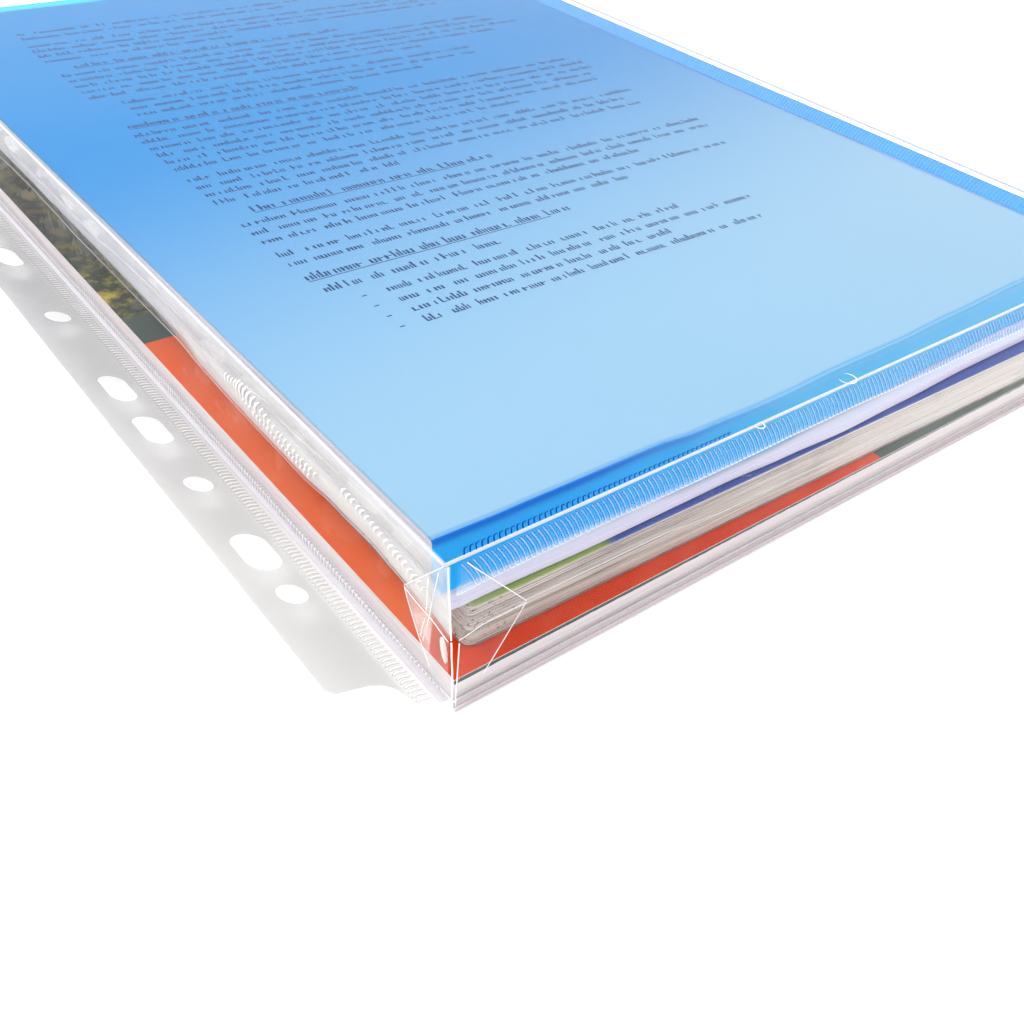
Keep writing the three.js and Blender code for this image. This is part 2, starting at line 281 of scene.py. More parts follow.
def tubes(paths, radius, outward, sides=5, flat=1.0):
    """Closed rods along one path (k, 3) or many (n, k, 3). Round each point runs a ring: radius
    times (cosine along outward, flattened by flat, plus sine along the side), with the ring's
    plane across the path, and each end is closed by its last ring. The third part, the rim, is 0
    on the crown and 1 on the flanks and at the thin ends."""
    paths = np.reshape(paths, (-1, *np.shape(paths)[-2:]))
    n, k = paths.shape[:2]
    radius = np.broadcast_to(radius, (n, k))
    tangent = unit(np.gradient(paths, axis=1))
    side = unit(np.cross(tangent, outward))
    up = np.cross(side, tangent)
    angle = np.arange(sides)[:, None] * 2 * np.pi / sides
    ring = np.cos(angle) * up[:, :, None] * flat + np.sin(angle) * side[:, :, None]
    verts = (paths[:, :, None] + radius[:, :, None, None] * ring).reshape(-1, 3)
    first = (np.arange(n) * k * sides)[:, None]
    quads = (first[:, :, None] + ring_faces(k, sides)).reshape(-1, 4)
    starts = first + np.arange(sides)[::-1]
    ends = first + (k - 1) * sides + np.arange(sides)
    full = radius / (radius.max(axis=1, keepdims=True) + 1e-12)
    rim = np.maximum(np.abs(np.sin(angle[:, 0])), 1 - full[:, :, None]).ravel()
    return verts, [*quads.tolist(), *starts.tolist(), *ends.tolist()], rim


def taper(t, full, most=2.0):
    """The share of a rod's radius on its way t from -1 to 1: the root of full less t squared, and
    not over the root of most."""
    return np.sqrt(np.clip(full - t * t, 0, most))


def stack(loops):
    """A closed block between loops (levels, m, 3) that run anticlockwise seen from above, one on
    the other, with the lowest and the highest loop filled."""
    levels, m = loops.shape[:2]
    foot = np.arange(m)[::-1].tolist()
    top = ((levels - 1) * m + np.arange(m)).tolist()
    return loops.reshape(-1, 3), [*ring_faces(levels, m).tolist(), foot, top]


SHARP = np.radians(35)


def make_piece(name, shape, material, body, stands_for=()):
    """A Blender object from points in millimetres and faces, riding on a body."""
    points, faces, *rim = shape
    mesh = bpy.data.meshes.new(name)
    faces = faces.tolist() if isinstance(faces, np.ndarray) else faces
    mesh.from_pydata(placed(points).tolist(), [], faces)
    mesh.update()
    if rim:
        mesh.attributes.new("rim", "FLOAT", "POINT").data.foreach_set("value", rim[0])
    mesh.shade_smooth()
    mesh.set_sharp_from_angle(angle=SHARP)
    mesh.materials.append(material)
    piece = bpy.data.objects.new(name, mesh)
    bpy.context.scene.collection.objects.link(piece)
    if isinstance(body, str):
        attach(piece, body)
    else:
        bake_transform(piece)
    if stands_for:
        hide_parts(*stands_for)
    return piece


def dress(nodes, material):
    """Gives CAD nodes a material in place of the packed one."""
    for name in nodes:
        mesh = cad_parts[name].data
        mesh.materials.clear()
        mesh.materials.append(material)


# Materials


X, Y, Z = range(3)
CLEAR = (1, 1, 1)


class Shader:
    """Builds a material's nodes. A value is a number, a colour or another node's output. here is
    the point in the row's frame, in metres."""

    def __init__(self, name):
        self.material = bpy.data.materials.new(name)
        self.material.use_nodes = True
        self.tree = self.material.node_tree
        self.tree.nodes.clear()
        self.here = self.add("ShaderNodeTexCoord", output="Object")

    def add(self, kind, values=None, output=0, **settings):
        """Adds a node, sets its settings and sockets, and returns one of its outputs."""
        node = self.tree.nodes.new(kind)
        for key, value in settings.items():
            setattr(node, key, value)
        for key, value in (values or {}).items():
            socket = node.inputs[key]
            if isinstance(value, bpy.types.NodeSocket):
                self.tree.links.new(value, socket)
            elif socket.type == "RGBA" and len(value) == 3:
                socket.default_value = (*value, 1)
            else:
                socket.default_value = value
        return node.outputs[output]

    def part(self, axis, vector=None):
        """One of the three parts of here, or of another vector."""
        return self.add("ShaderNodeSeparateXYZ", {0: vector or self.here}, output=axis)

    def rim(self):
        """The attribute rim of a piece's points."""
        return self.add("ShaderNodeAttribute", output=2, attribute_name="rim")

    def math(self, operation, first, second=0.0, third=0.0, clamp=False):
        values = {0: first, 1: second, 2: third}
        return self.add("ShaderNodeMath", values, operation=operation, use_clamp=clamp)

    def times(self, first, second, plus=0.0, clamp=False):
        """first times second, plus a third value."""
        return self.math("MULTIPLY_ADD", first, second, plus, clamp)

    def mix(self, amount, first, second):
        """A colour between two colours."""
        values = {"Factor": amount, 6: first, 7: second}
        return self.add("ShaderNodeMix", values, output=2, data_type="RGBA")

    def ramp(self, value, low, high):
        """0 below low, 1 above high, and a smooth step between."""
        values = {0: value, 1: low, 2: high, 3: 0.0, 4: 1.0}
        return self.add("ShaderNodeMapRange", values, interpolation_type="SMOOTHSTEP")

    def span(self, axis, low, high):
        """The same along an axis, between two places in millimetres in the pocket's frame."""
        return self.ramp(self.part(axis), ORIGIN[axis] + low * MM, ORIGIN[axis] + high * MM)

    def noise(self, scale, detail=4.0, roughness=0.55, stretch=None, where=None):
        """Smooth noise between 0 and 1, with scale in waves per metre."""
        where = where or self.here
        if stretch:
            where = self.add("ShaderNodeMapping", {"Vector": where, "Scale": stretch})
        values = {"Vector": where, "Scale": scale, "Detail": detail, "Roughness": roughness}
        return self.add("ShaderNodeTexNoise", values)

    def bump(self, height, strength, distance):
        values = {"Height": height, "Strength": strength, "Distance": distance}
        return self.add("ShaderNodeBump", values)

    def body(self, base, roughness=0.5, more=None):
        """A plain surface. more holds its further sockets."""
        values = {"Base Color": base, "Roughness": roughness, **(more or {})}
        return self.add("ShaderNodeBsdfPrincipled", values)

    def film(self, amount, body, through=CLEAR):
        """A share of a body, and for the rest what is seen through it."""
        seen = self.add("ShaderNodeBsdfTransparent", {"Color": through})
        return self.add("ShaderNodeMixShader", {0: amount, 1: seen, 2: body})

    def gloss(self, under, strength=1.0, roughness=0.1, **more):
        """Lays a reflection over a shader: it grows towards a glancing view as the fifth power of
        one less the cosine of the view, and only the side that faces the view has it."""
        facing = self.add("ShaderNodeLayerWeight", {"Blend": 0.5}, output=1)
        glancing = self.times(self.math("POWER", facing, 5.0), 0.9, 0.004)
        inner = self.add("ShaderNodeNewGeometry", output=6)
        front = self.times(self.math("SUBTRACT", 1.0, inner), strength)
        amount = self.times(glancing, front, clamp=True)
        glint = self.add("ShaderNodeBsdfAnisotropic", {"Roughness": roughness, **more})
        return self.add("ShaderNodeMixShader", {0: amount, 1: under, 2: glint})

    def finish(self, shader):
        output = self.tree.nodes.new("ShaderNodeOutputMaterial")
        self.tree.links.new(shader, output.inputs["Surface"])
        return self.material


def mottled(name, scale, first, second, roughness=0.5, more=None):
    """A plain surface whose colour wavers between two colours."""
    s = Shader(name)
    return s.finish(s.body(s.mix(s.noise(scale), first, second), roughness, more))


def clear_film(name, tint, haze, through=CLEAR, roughness=0.08, shine=1.0, streaks=0.0):
    """Thin clear plastic: what is behind it, tinted; a share of white haze with soft streaks; and
    a reflection that grows towards a glancing view."""
    s = Shader(name)
    amount = s.times(s.ramp(s.noise(60.0), 0.45, 0.75), streaks, haze)
    waves = s.bump(s.noise(70.0, detail=1.0), 0.08, 0.002)
    hazed = s.film(amount, s.body(tint, 0.45), through)
    return s.finish(s.gloss(hazed, shine, roughness, Normal=waves))


def edge_film(name, tint, solid=0.72):
    """Welded film seen along its edge: almost solid white, a little uneven."""
    s = Shader(name)
    base = s.mix(s.noise(700.0), tint, [0.86 * v for v in tint])
    amount = s.times(s.ramp(s.noise(420.0), 0.2, 0.42), min(0.94 - solid, 0.34), solid)
    return s.finish(s.film(amount, s.body(base, 0.3, {"Coat Weight": 0.4})))


def graded_film(name, tint, low, haze_low, high, haze_high):
    """Film whose share of white goes from one value at a height to another at a second height."""
    s = Shader(name)
    values = {0: s.part(Z), 1: low * MM, 2: high * MM, 3: haze_low, 4: haze_high}
    amount = s.add("ShaderNodeMapRange", values)
    hazed = s.film(amount, s.body(tint, 0.5, {"Specular IOR Level": 0.2}))
    return s.finish(s.gloss(hazed, 0.8, 0.12))


def rib_film(name, tint, haze, dark=(135, 175, 226), glow=0.0):
    """A pressed rib of clear film: white haze along its crown, partly the weld's own haze and
    partly a painted highlight, and a darker rim beside it, painted shade where the ridge is seen
    aslant, from the attribute rim, which is 0 on the crown and 1 on the flanks. glow is the share
    of white at the lower end of the top weld, a painted highlight."""
    s = Shader(name)
    rim = s.rim()
    patchy = s.times(s.ramp(s.noise(60.0), 0.3, 0.7), haze * 0.4, haze * 0.6)
    amount = s.times(s.ramp(rim, 0.7, 0.3), patchy)
    # Painted highlight: white at the lower end of the top weld.
    if glow:
        low = s.span(Z, TOP_WELD_FOOT + 0.9, TOP_WELD_FOOT - 0.3)
        amount = s.times(low, glow, amount, clamp=True)
    # Painted shade: the flanks tint what is seen through them darker.
    seen = s.mix(s.ramp(rim, 0.5, 0.8), CLEAR, linear(*dark))
    hazed = s.film(amount, s.body(tint, 0.25, {"Coat Weight": 0.3}), seen)
    return s.finish(s.gloss(hazed, 0.8, 0.12))


def paper_stack(name, pale, dark, leaf_pitch, seed_shift, stained=0, dark_above=0, painted_shades=()):
    """The cut edges of a stack of leaves: fine lines along the leaves from noise that is drawn out
    along x and y, in two sizes, and soft stains. The tones given for its left edge, far from the
    corner and near it, and for its front edge are painted shade: faces that turn left or forward
    are darkened as if in shade."""
    s = Shader(name)
    drawn = {"stretch": (0.008, 0.008, 1.0)}
    drawn["where"] = s.add("ShaderNodeMapping", {"Vector": s.here, "Location": (seed_shift, 0, 0)})
    fine = s.noise(4200.0 / leaf_pitch, detail=2.0, **drawn)
    coarse = s.noise(1200.0 / leaf_pitch, detail=3.0, **drawn)
    lines = s.math("ADD", s.times(fine, 0.5), s.times(coarse, 0.5))
    normal = s.add("ShaderNodeNewGeometry", output=1)
    upright = s.ramp(s.math("ABSOLUTE", s.part(Z, normal)), 0.7, 0.3)
    calm = s.span(X, 140, 30)
    amount = s.times(s.ramp(lines, 0.58, 0.38), s.times(upright, s.times(calm, 0.6, 0.2)))
    if stained:
        pale = s.mix(calm, linear(222, 215, 211), pale)
    base = s.mix(amount, pale, dark)
    stains = s.ramp(s.noise(55.0, where=drawn["where"]), 0.5, 0.75)
    base = s.mix(s.times(stains, stained), base, dark)
    flecks = s.ramp(s.noise(1100.0, detail=3.0), 0.6, 0.66)
    flecks = s.times(flecks, s.times(s.span(X, 26, 12), stained * 3))
    base = s.mix(flecks, base, linear(52, 44, 44))
    # Painted shade: faces that turn to the left or to the front take the darker tones.
    if painted_shades:
        far_left_shade, left, front = painted_shades
        for axis, painted_tone in ((X, s.mix(s.span(Y, 90, 150), left, far_left_shade)), (Y, front)):
            facing = s.ramp(s.part(axis, normal), -0.3, -0.8)
            base = s.mix(s.times(facing, 0.8), base, painted_tone)
    if dark_above:
        ragged = s.times(s.noise(400.0), 0.0005, dark_above * MM)
        thin = s.times(s.math("SUBTRACT", s.part(X), ORIGIN[X]), 0.004, ragged)
        front = s.math("LESS_THAN", s.part(Y, normal), -0.5)
        dark_edge = s.times(s.math("GREATER_THAN", s.part(Z), thin), front)
        base = s.mix(dark_edge, base, linear(42, 68, 64))
    relief = s.bump(lines, s.times(calm, 0.35, 0.1), 0.0004)
    return s.finish(s.body(base, 0.8, {"Normal": relief}))


# The gusset walls. Each bulges: nothing at its foot and top, and most at its crease.

BULGE = {
    "left": [(0, 0), (9, 0.8), (20, 1.6), (30, 2.2), (42, 2.0), (52, 1.5), (80, 1.5), (97, 1.8)],
    "bottom": [(0, 0), (8, 0.9), (16, 1.1), (43, 0.8), (74, -1.2), (118, -2.6), (166, -3.3)],
    "right": [(0, 0), (12, -0.9), (60, -1.8), (140, -0.6), (220, -1.6), (312, -0.8)],
}
BULGE["left"] += [(113, 2.7), (160, 2.4), (215, 2.8), (312, 1.6)]
BULGE["bottom"] += [(202, -2.2), (224, 0)]
UPPER_CURVE = {"left": 1.7, "bottom": 1.2, "right": 1.2}
LEAN = {"left": -1.3, "bottom": 1.2, "right": 0.2}


def lean(z):
    """How much of a wall's lean shows at a height: the height's share of the whole to the power
    of 1.4."""
    return (np.clip(z, 0, None) / HEIGHT) ** 1.4


def wall(side, along, z, out=0.0):
    """A point on a gusset wall: along it from the corner and up. The wall's middle line stands
    inwards from its plane by the bulge at that place times a share that is 0 at the foot and top
    and 1 at the crease, by small waves, and by the wall's lean; out moves the point outwards."""
    along, z = np.broadcast_arrays(np.asarray(along, float), np.asarray(z, float))
    low = np.clip((z - WALL_FOOT) / (LOWER_WALL_TOP - WALL_FOOT), 0, 1)
    high = np.clip((WALL_TOP - z) / (WALL_TOP - UPPER_WALL_FOOT), 0, 1)
    rise = np.where(z < CREASE, low, high ** UPPER_CURVE[side])
    film = bpy.context.scene.pocket_film
    seed = 10 * list(BULGE).index(side)
    calm = np.clip(np.minimum(low, high) * 3, 0, 1)
    waves = film.crumple * crumple(along, z * 1.6, seed, 6, 60) * calm
    inward = curve(along, BULGE[side]) * rise + waves + FILM / 2 + LEAN[side] * lean(z) - out
    if side == "bottom":
        return np.stack([along, inward, z], -1)
    return np.stack([inward if side == "left" else WIDTH - inward, along, z], -1)


OUTWARD = {"left": (-1, 0, 0), "bottom": (0, -1, 0), "right": (1, 0, 0)}
# How far out of the wall's middle each thing on it lies
OUT = {"crease": 0.12, "band": 0.22, "foot rib": 0.26, "weld end": 0.3, "crumple line": 0.3}
OUT |= {"arc": 0.34, "top rib": 0.42, "tuck": 0.45, "tuck fold": 0.6, "tuck arc": 0.66}
OUT["glare"] = 0.75


def wall_rods(name, material, side, half, along, z, layer, radius, sides=6, flat=1.0):
    """Rods that lie on a gusset wall in one of the layers of OUT, as one piece on half of it."""
    shape = tubes(wall(side, along, z, OUT[layer]), radius, OUTWARD[side], sides, flat)
    make_piece(name, shape, material, f"{side}_gusset_{half}")


def wall_span(side):
    """Where a wall starts and ends, measured along it."""
    low, high = edges(f"{side}_gusset_lower")
    axis = 0 if side == "bottom" else 1
    return low[axis], high[axis]


def wall_sheet(side, z0, z1, rows):
    """A stretch of a gusset wall between two heights, as a closed skin facing out."""
    start, end = wall_span(side)
    columns = int((end - start) / 2)
    u, v = grid(columns, rows)
    points = wall(side, start + (end - start) * u, z0 + (z1 - z0) * v)
    return shell(points[::-1] if side == "left" else points, FILM)


# The front panel's edges: (y, x) along its left edge and (x, y) along its foot
FRONT_LEFT = [(0, -1.9), (3, -2.1), (48, -1.85), (174, -1.6), (312, -1.5)]
FRONT_FOOT = [(-2, 1.5), (30, 1.28), (89, 1.15), (162, 1.06), (224, 0.4)]
FAR_END = LENGTH - 0.4  # the welded edges stop just short of the mouth


class POCKET_OT_panels(bpy.types.Operator):
    """Makes the front panel, dresses the back panel, and lays the welded edges round them"""

    bl_idname = "pocket.panels"
    bl_label = "Panels and edges"

    def execute(self, context):
        film = context.scene.pocket_film
        clear = clear_film("clear film", film.tint, film.haze * 0.5, shine=0.7)
        dress(["back_panel"], clear)
        self.front_panel(clear)
        self.front_edge(film.edge_radius)
        self.back_edge()
        self.rims()
        return {"FINISHED"}

    def front_panel(self, clear):
        """The front panel, pulled flat, with low waves that die out at its edges."""
        u, v = grid(80, 110)
        foot = FRONT_FOOT[1][1]
        y = foot + (LENGTH - foot) * v
        left = curve(y, FRONT_LEFT)
        x = left + (PANEL_HIGH[0] - left) * u
        y = y + (curve(x, FRONT_FOOT) - foot) * (1 - v)
        calm = smooth(np.minimum(np.minimum(x + 1, WIDTH - x), y - 1) / 8)
        z = HEIGHT - FILM / 2 - 0.12 * calm * (1 + crumple(x, y, 3, 25, 160))
        sheet = shell(np.stack([x, y, z], -1), FILM)
        make_piece("front_film", sheet, clear, "pocket_front", ["front_panel"])

    def front_edge(self, r):
        """A rod of radius r down the front panel's left edge, along its foot and up its right."""
        edge = edge_film("welded edge", linear(208, 215, 232), 0.7)
        y = np.linspace(FAR_END, 1.9, 150)
        x = np.linspace(-1.6, WIDTH, 110)
        side = [curve(y, FRONT_LEFT) + r, y]
        foot = [x, curve(x, FRONT_FOOT) + r]
        end = [[WIDTH, WIDTH], [8, FAR_END]]
        flat = np.concatenate([side, foot, end], 1).T
        front = edge_rod(flat, HEIGHT - r - 0.02, r, 21)
        names = ["front_seam_left", "front_seam_bottom", "front_seam_right"]
        make_piece("front_edge", front, edge, "pocket_front", names)

    def back_edge(self):
        """A thin rod along the foot and the right edge of the back panel."""
        low, high = edges("back_seam_bottom")
        reach = (low[1] + high[1]) / 2
        x = np.linspace(0.1, WIDTH, 110)
        y = np.linspace(2, FAR_END, 150)
        flat = np.concatenate([[x, 0 * x + reach], [0 * y + WIDTH - reach, y]], 1).T
        back = edge_rod(flat, 0.24, 0.2, 22)
        names = ["back_seam_bottom", "back_seam_right"]
        foot_edge = edge_film("foot edge", linear(206, 200, 202), 0.75)
        make_piece("back_edge", back, foot_edge, "pocket_back", names)

    def rims(self):
        """The back panel's rim from the wall's foot out to its edge, at the left and the bottom."""
        u, v = grid(5, 150)
        for name, start, end, rim, tint in (
            ("strip_root_film", 2, FAR_END, -1.0, linear(243, 242, 244)),
            ("foot_root_film", 0.1, WIDTH - 0.1, -1.1, linear(247, 243, 245)),
        ):
            across, along = 0.8 + (rim - 0.8) * u, start + (end - start) * v
            z = 0.27 + 0.01 * crumple(across, along, 23, 10, 60)
            if name == "strip_root_film":
                points = np.stack([across, along, z], -1)[::-1]
            else:
                points = np.stack([along, across, z], -1)
            skin = clear_film(name.replace("_", " "), tint, 0.1, through=tint, shine=0.7)
            make_piece(name, shell(points, 0.06), skin, "pocket_back")


def edge_rod(flat, z, radius, seed):
    """A rod along a line of (x, y) points at one height, whose radius swells and thins by a
    tenth along it."""
    path = np.concatenate([flat, np.full((len(flat), 1), z)], 1)
    s = np.arange(len(path)) * 2.0
    size = radius * (1 + 0.1 * crumple(s, 0, seed, 5, 40))
    return tubes(path, size, (0, 0, 1), sides=8)


class POCKET_OT_walls(bpy.types.Operator):
    """Makes the gusset walls with their creases"""

    bl_idname = "pocket.walls"
    bl_label = "Gusset walls"

    def execute(self, context):
        film = context.scene.pocket_film
        clear = clear_film("wall film", film.tint, film.haze, shine=0.7, streaks=0.015)
        fold = edge_film("fold line", linear(232, 229, 226), 0.45)
        for side in BULGE:
            nodes = [f"{side}_gusset_lower", f"{side}_gusset_upper"]
            if side == "left":
                shape = wall_sheet(side, WALL_FOOT, WALL_TOP, 34)
                start = placed([0, LENGTH / 2, CREASE - 1.2])
                end = placed([0, LENGTH / 2, CREASE + 1.2])
                body = (nodes[0], nodes[1], tuple(start), tuple(end))
                make_piece("left_wall", shape, self.left_film(film), body, nodes)
            else:
                ends = (WALL_FOOT, LOWER_WALL_TOP), (UPPER_WALL_FOOT, WALL_TOP)
                for node, half in zip(nodes, ends):
                    shape = wall_sheet(side, *half, 16)
                    name = node.replace("gusset", "wall")
                    make_piece(name, shape, clear, node, [node])
            start, end = wall_span(side)
            along = np.linspace(start + 14, end - 2, int((end - start) / 2))
            size = (0.06 if side == "left" else 0.12) * (1 + 0.3 * crumple(along, 0, 5, 9, 70))
            z = LOWER_WALL_TOP - 0.1
            wall_rods(f"{side}_crease", fold, side, "lower", along, z, "crease", size)
        return {"FINISHED"}

    def left_film(self, film):
        """The left wall: clear, but milky and streaked above its crease near the corner, where the
        weld has crumpled it."""
        s = Shader("left wall film")
        cloud = s.ramp(s.noise(130.0, detail=5.0, stretch=(1, 0.35, 1.6)), 0.35, 0.7)
        amount = s.times(s.times(cloud, 0.16, 0.1), s.span(Z, 17.5, 22))
        amount = s.times(amount, s.times(s.span(Y, 150, 80), 0.88, 0.12), film.haze)
        veil = s.times(s.span(Z, 17.1, 18.3), s.span(Z, 28, 22))
        amount = s.times(s.times(veil, s.span(Y, 122, 96)), 0.36, amount)
        waves = s.bump(s.noise(110.0, detail=2.0), 0.2, 0.002)
        return s.finish(s.gloss(s.film(amount, s.body(film.tint, 0.3)), 1.0, 0.1, Normal=waves))


def weld_foot(side, along):
    """The lower end of the top weld, which comes down a little towards the left corner."""
    drop = 0.9 * (1 - smooth(np.asarray(along, float) / 110)) if side == "bottom" else 0
    return TOP_WELD_FOOT - drop


class POCKET_OT_welds(bpy.types.Operator):
    """Presses the weld ribs into the gusset walls, with the band of film that they join"""

    bl_idname = "pocket.welds"
    bl_label = "Weld ribs"

    def execute(self, context):
        film = context.scene.pocket_film
        band = clear_film("weld film", film.tint, film.haze, shine=0.6, streaks=0.03)
        milky = clear_film("milky weld film", film.tint, 0.05, shine=1.2, streaks=0.12)
        low, high = TOP_WELD_FOOT - 0.6, TOP_WELD_FOOT + 1.4
        pressed = graded_film("pressed film", linear(206, 230, 252), low, 0.3, high, 0.01)
        seam = graded_film("foot seam film", linear(216, 207, 210), 1.3, 0.72, 1.45, 0.003)
        ribs = rib_film("weld rib", linear(200, 226, 250), film.weld_haze, (150, 192, 236), 0.5)
        faint = rib_film("faint rib", film.weld_colour, 0.2, (226, 230, 236))
        marks = rib_film("foot mark", film.weld_colour, 0.85, (238, 238, 240))
        edge = edge_film("weld end line", film.weld_colour)
        for side in BULGE:
            start, end = wall_span(side)
            start, end = start + 1.5, end - 1.5
            u, v = grid(int((end - start) / 2), 9)
            start = 0.3 if side == "bottom" else start
            along = start + (end - start) * u
            low = 0.12 if side == "bottom" else WALL_FOOT
            top = weld_foot(side, along) * (1 - v) + WALL_TOP * v
            foot = low + (FOOT_WELD_TOP - low) * v
            skins = {"left": (milky, band), "bottom": (pressed, seam), "right": (band, band)}[side]
            for part, half, z, skin in zip(("top", "foot"), ("upper", "lower"), (top, foot), skins):
                points = wall(side, along, z, OUT["band"])
                shape = shell(points[::-1] if side == "left" else points, 0.08)
                body, node = f"{side}_gusset_{half}", f"{side}_{part}_weld"
                make_piece(f"{side}_{part}_band", shape, skin, body, [node])
            if side == "left":
                self.foot_ribs(side, start, end, film, marks)
                self.crumpled_arcs(side, edge_film("weld arc", film.weld_colour, 0.6))
                # Painted glints along the folds high on the wall
                self.crumple_lines(side, edge_film("fold glint", film.weld_colour, 0.35))
                continue
            self.top_ribs(side, start, end, film, ribs if side == "bottom" else faint)
            if side == "bottom":
                self.ticks(film)
            along = np.arange(start, end, 0.4)
            beads = 0.5 + 0.5 * np.cos(2 * np.pi * along / film.rib_pitch)
            size = 0.1 + 0.08 * np.where(along > 70, beads, 0.4)
            z = weld_foot(side, along)
            wall_rods(f"{side}_weld_end", edge, side, "upper", along, z, "weld end", size, 5)
        return {"FINISHED"}

    def top_ribs(self, side, start, end, film, material):
        """Ribs from the wall's top down to the weld's end, bent as half a parabola so that each
        leans above and stands upright below, with a rounded lower end: the radius follows the root
        of one less the square of the way into the last tenth."""
        rng = np.random.default_rng(len(side))
        at = np.arange(start + 0.6, end - 4.6, film.rib_pitch)[:, None]
        t = np.array([0, 0.15, 0.3, 0.5, 0.7, 0.86, 0.93, 0.97, 0.99, 1.0])[None]
        foot = weld_foot(side, at) + 0.05
        z = WALL_TOP - 0.2 - (WALL_TOP - 0.2 - foot) * t
        along = at + 1.8 * t + 1.5 * (1 - (1 - t) ** 2) + rng.normal(0, 0.03, at.shape)
        size = film.rib_radius * taper(np.clip(t - 0.9, 0, 1) / 0.1, 1.01, 1)
        size = size * rng.uniform(0.85, 1.1, at.shape)
        name = f"{side}_top_ribs"
        wall_rods(name, material, side, "upper", along, z, "top rib", size, 10, 0.3)

    def foot_ribs(self, side, start, end, film, material):
        """Short curved marks near the foot, each a part of a circle"""
        at = np.arange(start + 1, end - 2, film.rib_pitch)[:, None]
        t = np.linspace(-1, 1, 6)[None]
        tall = 0.35 + 0.85 * smooth((at - start) / 45)
        z = WALL_FOOT + 1.7 + tall * t
        along = at + 0.6 * (1 - t * t)
        name, size = f"{side}_foot_ribs", 0.38 * taper(t, 1.15, 1)
        wall_rods(name, material, side, "lower", along, z, "foot rib", size, 8, 0.6)

    def crumpled_arcs(self, side, material):
        """White crescents where the weld is crumpled, one after the other in three rows, each row
        along a line that rises and falls. A crescent climbs aslant and is bent as a parabola."""
        rng = np.random.default_rng(90)
        upper = [(44, 21.9), (51, 22.6), (58, 23.4), (65, 24.8), (72, 26.3), (82, 25.0)]
        lower = [(48, 19.9), (58, 20.6), (66, 21.6), (76, 23.0)]
        corner = [(8, 22.2), (18, 23.5), (24, 24.5), (29, 25.3), (36, 26.2)]
        rows = []
        t = np.linspace(-1, 1, 9)
        for first, last, pitch, scale, line in (
            (46, 81, 1.5, 0.4, upper),
            (49, 75, 1.4, 0.3, lower),
            (9, 35, 1.5, 0.45, corner),
        ):
            at = np.arange(first, last, pitch)
            at = at + rng.uniform(-0.12, 0.12, len(at))
            grown = scale + 0.5 * np.exp(-(((at - 71) / 5) ** 2)) * (line is upper)
            grown = (grown * rng.uniform(0.85, 1.1, len(at)))[:, None]
            along = at[:, None] - 2.8 * grown * t + 1.5 * grown * (1 - t * t)
            z = (curve(at, line) + rng.normal(0, 0.1, len(at)))[:, None] + 4.0 * grown * t
            rows.append((along, z, (0.2 + 0.2 * grown) * taper(t, 1.04)))
        along, z, size = (np.concatenate(parts) for parts in zip(*rows))
        wall_rods(f"{side}_crumpled_arcs", material, side, "upper", along, z, "arc", size, 6, 0.5)

    def crumple_lines(self, side, material):
        """Long thin folds high on the wall, each a slow wave along it, drawn as white rods that are
        painted glints.
        """
        rows = []
        for first, last, height, drift, seed in (
            (34, 58, 30.2, -1.7, 1),
            (60, 78, 30.6, -3.4, 2),
            (14, 32, 31.0, -0.4, 4),
            (96, 230, 29.8, -4.5, 5),
        ):
            along = np.linspace(first, last, 60)
            z = height + drift * (along - first) / (last - first)
            rows.append((along, z + 0.3 * crumple(along, 0, seed, 12, 70)))
        along, z = (np.array(parts) for parts in zip(*rows))
        name, size = f"{side}_crumple_lines", 0.08 * taper(np.linspace(-1, 1, 60), 1.02)
        wall_rods(name, material, side, "upper", along, z, "crumple line", size, 6, 0.5)

    def ticks(self, film):
        """Dark hooked ticks behind the front edge, one for each rib near the corner, that grow
        shorter along the edge: painted shade where the ribs' tops look dark through the film. And
        two white curls that are painted glints on the film at the weld."""
        # Painted shade: dark see-through ticks stand for the ribs' tops seen dark through the film.
        s = Shader("weld tick shade")
        seen = s.add("ShaderNodeBsdfTransparent", {"Color": linear(120, 168, 226)})
        dark = s.finish(s.gloss(seen, 0.8, 0.15))
        at = np.arange(2.2, 64, film.rib_pitch)[:, None]
        t = np.array([[0.0, 0.35, 0.7, 0.92, 1.0, 1.0, 0.95]])
        hook = np.array([[0.0, 0.0, 0.0, 0.06, 0.25, 0.5, 0.75]])
        reach = 1.35 - 0.85 * smooth(at / 64)
        foot = 1.9 + reach * t
        points = [at + 0.667 * reach * t + hook, foot + 0 * hook, HEIGHT - 0.02 + 0 * foot]
        points = np.stack(np.broadcast_arrays(*points), -1)
        shape = tubes(points, 0.13, (0, 0, 1), sides=5, flat=0.5)
        make_piece("weld_shade_ticks", shape, dark, "pocket_front")

        # Painted glints: two white curled rods on the film at the weld.
        a = np.linspace(-3.6, 1.0, 16)
        size = 0.12 * taper(np.linspace(-1, 1, 16), 1.03)
        arc = np.stack([np.cos(a), np.sin(a), 0 * a], -1)
        glint_paths = [arc * r + (x, y, HEIGHT) for x, y, r in ((71.0, 0.9, 1.0), (99.5, 2.6, 1.9))]
        shape = tubes(glint_paths, size, (0, 0, 1), sides=6)
        glint_white = edge_film("glint curl", film.weld_colour)
        make_piece("glint_curls", shape, glint_white, "pocket_front")


# (along, z) of the tucks' corners, and of the ends of the fold line across the left one
LEFT_INNER_FOLD = {"upper": [(7.4, 17.4), (3.5, 31.0)], "lower": [(8.9, 10.1), (7.5, 17.1)]}
TUCKS = {
    "upper": [(0.9, 17.4), (16, 17.4), (2.0, 33.7), (0.9, 33.7)],
    "lower": [(0.9, 2.0), (6.5, 5.5), (16, 17.0), (0.9, 17.0)],
}


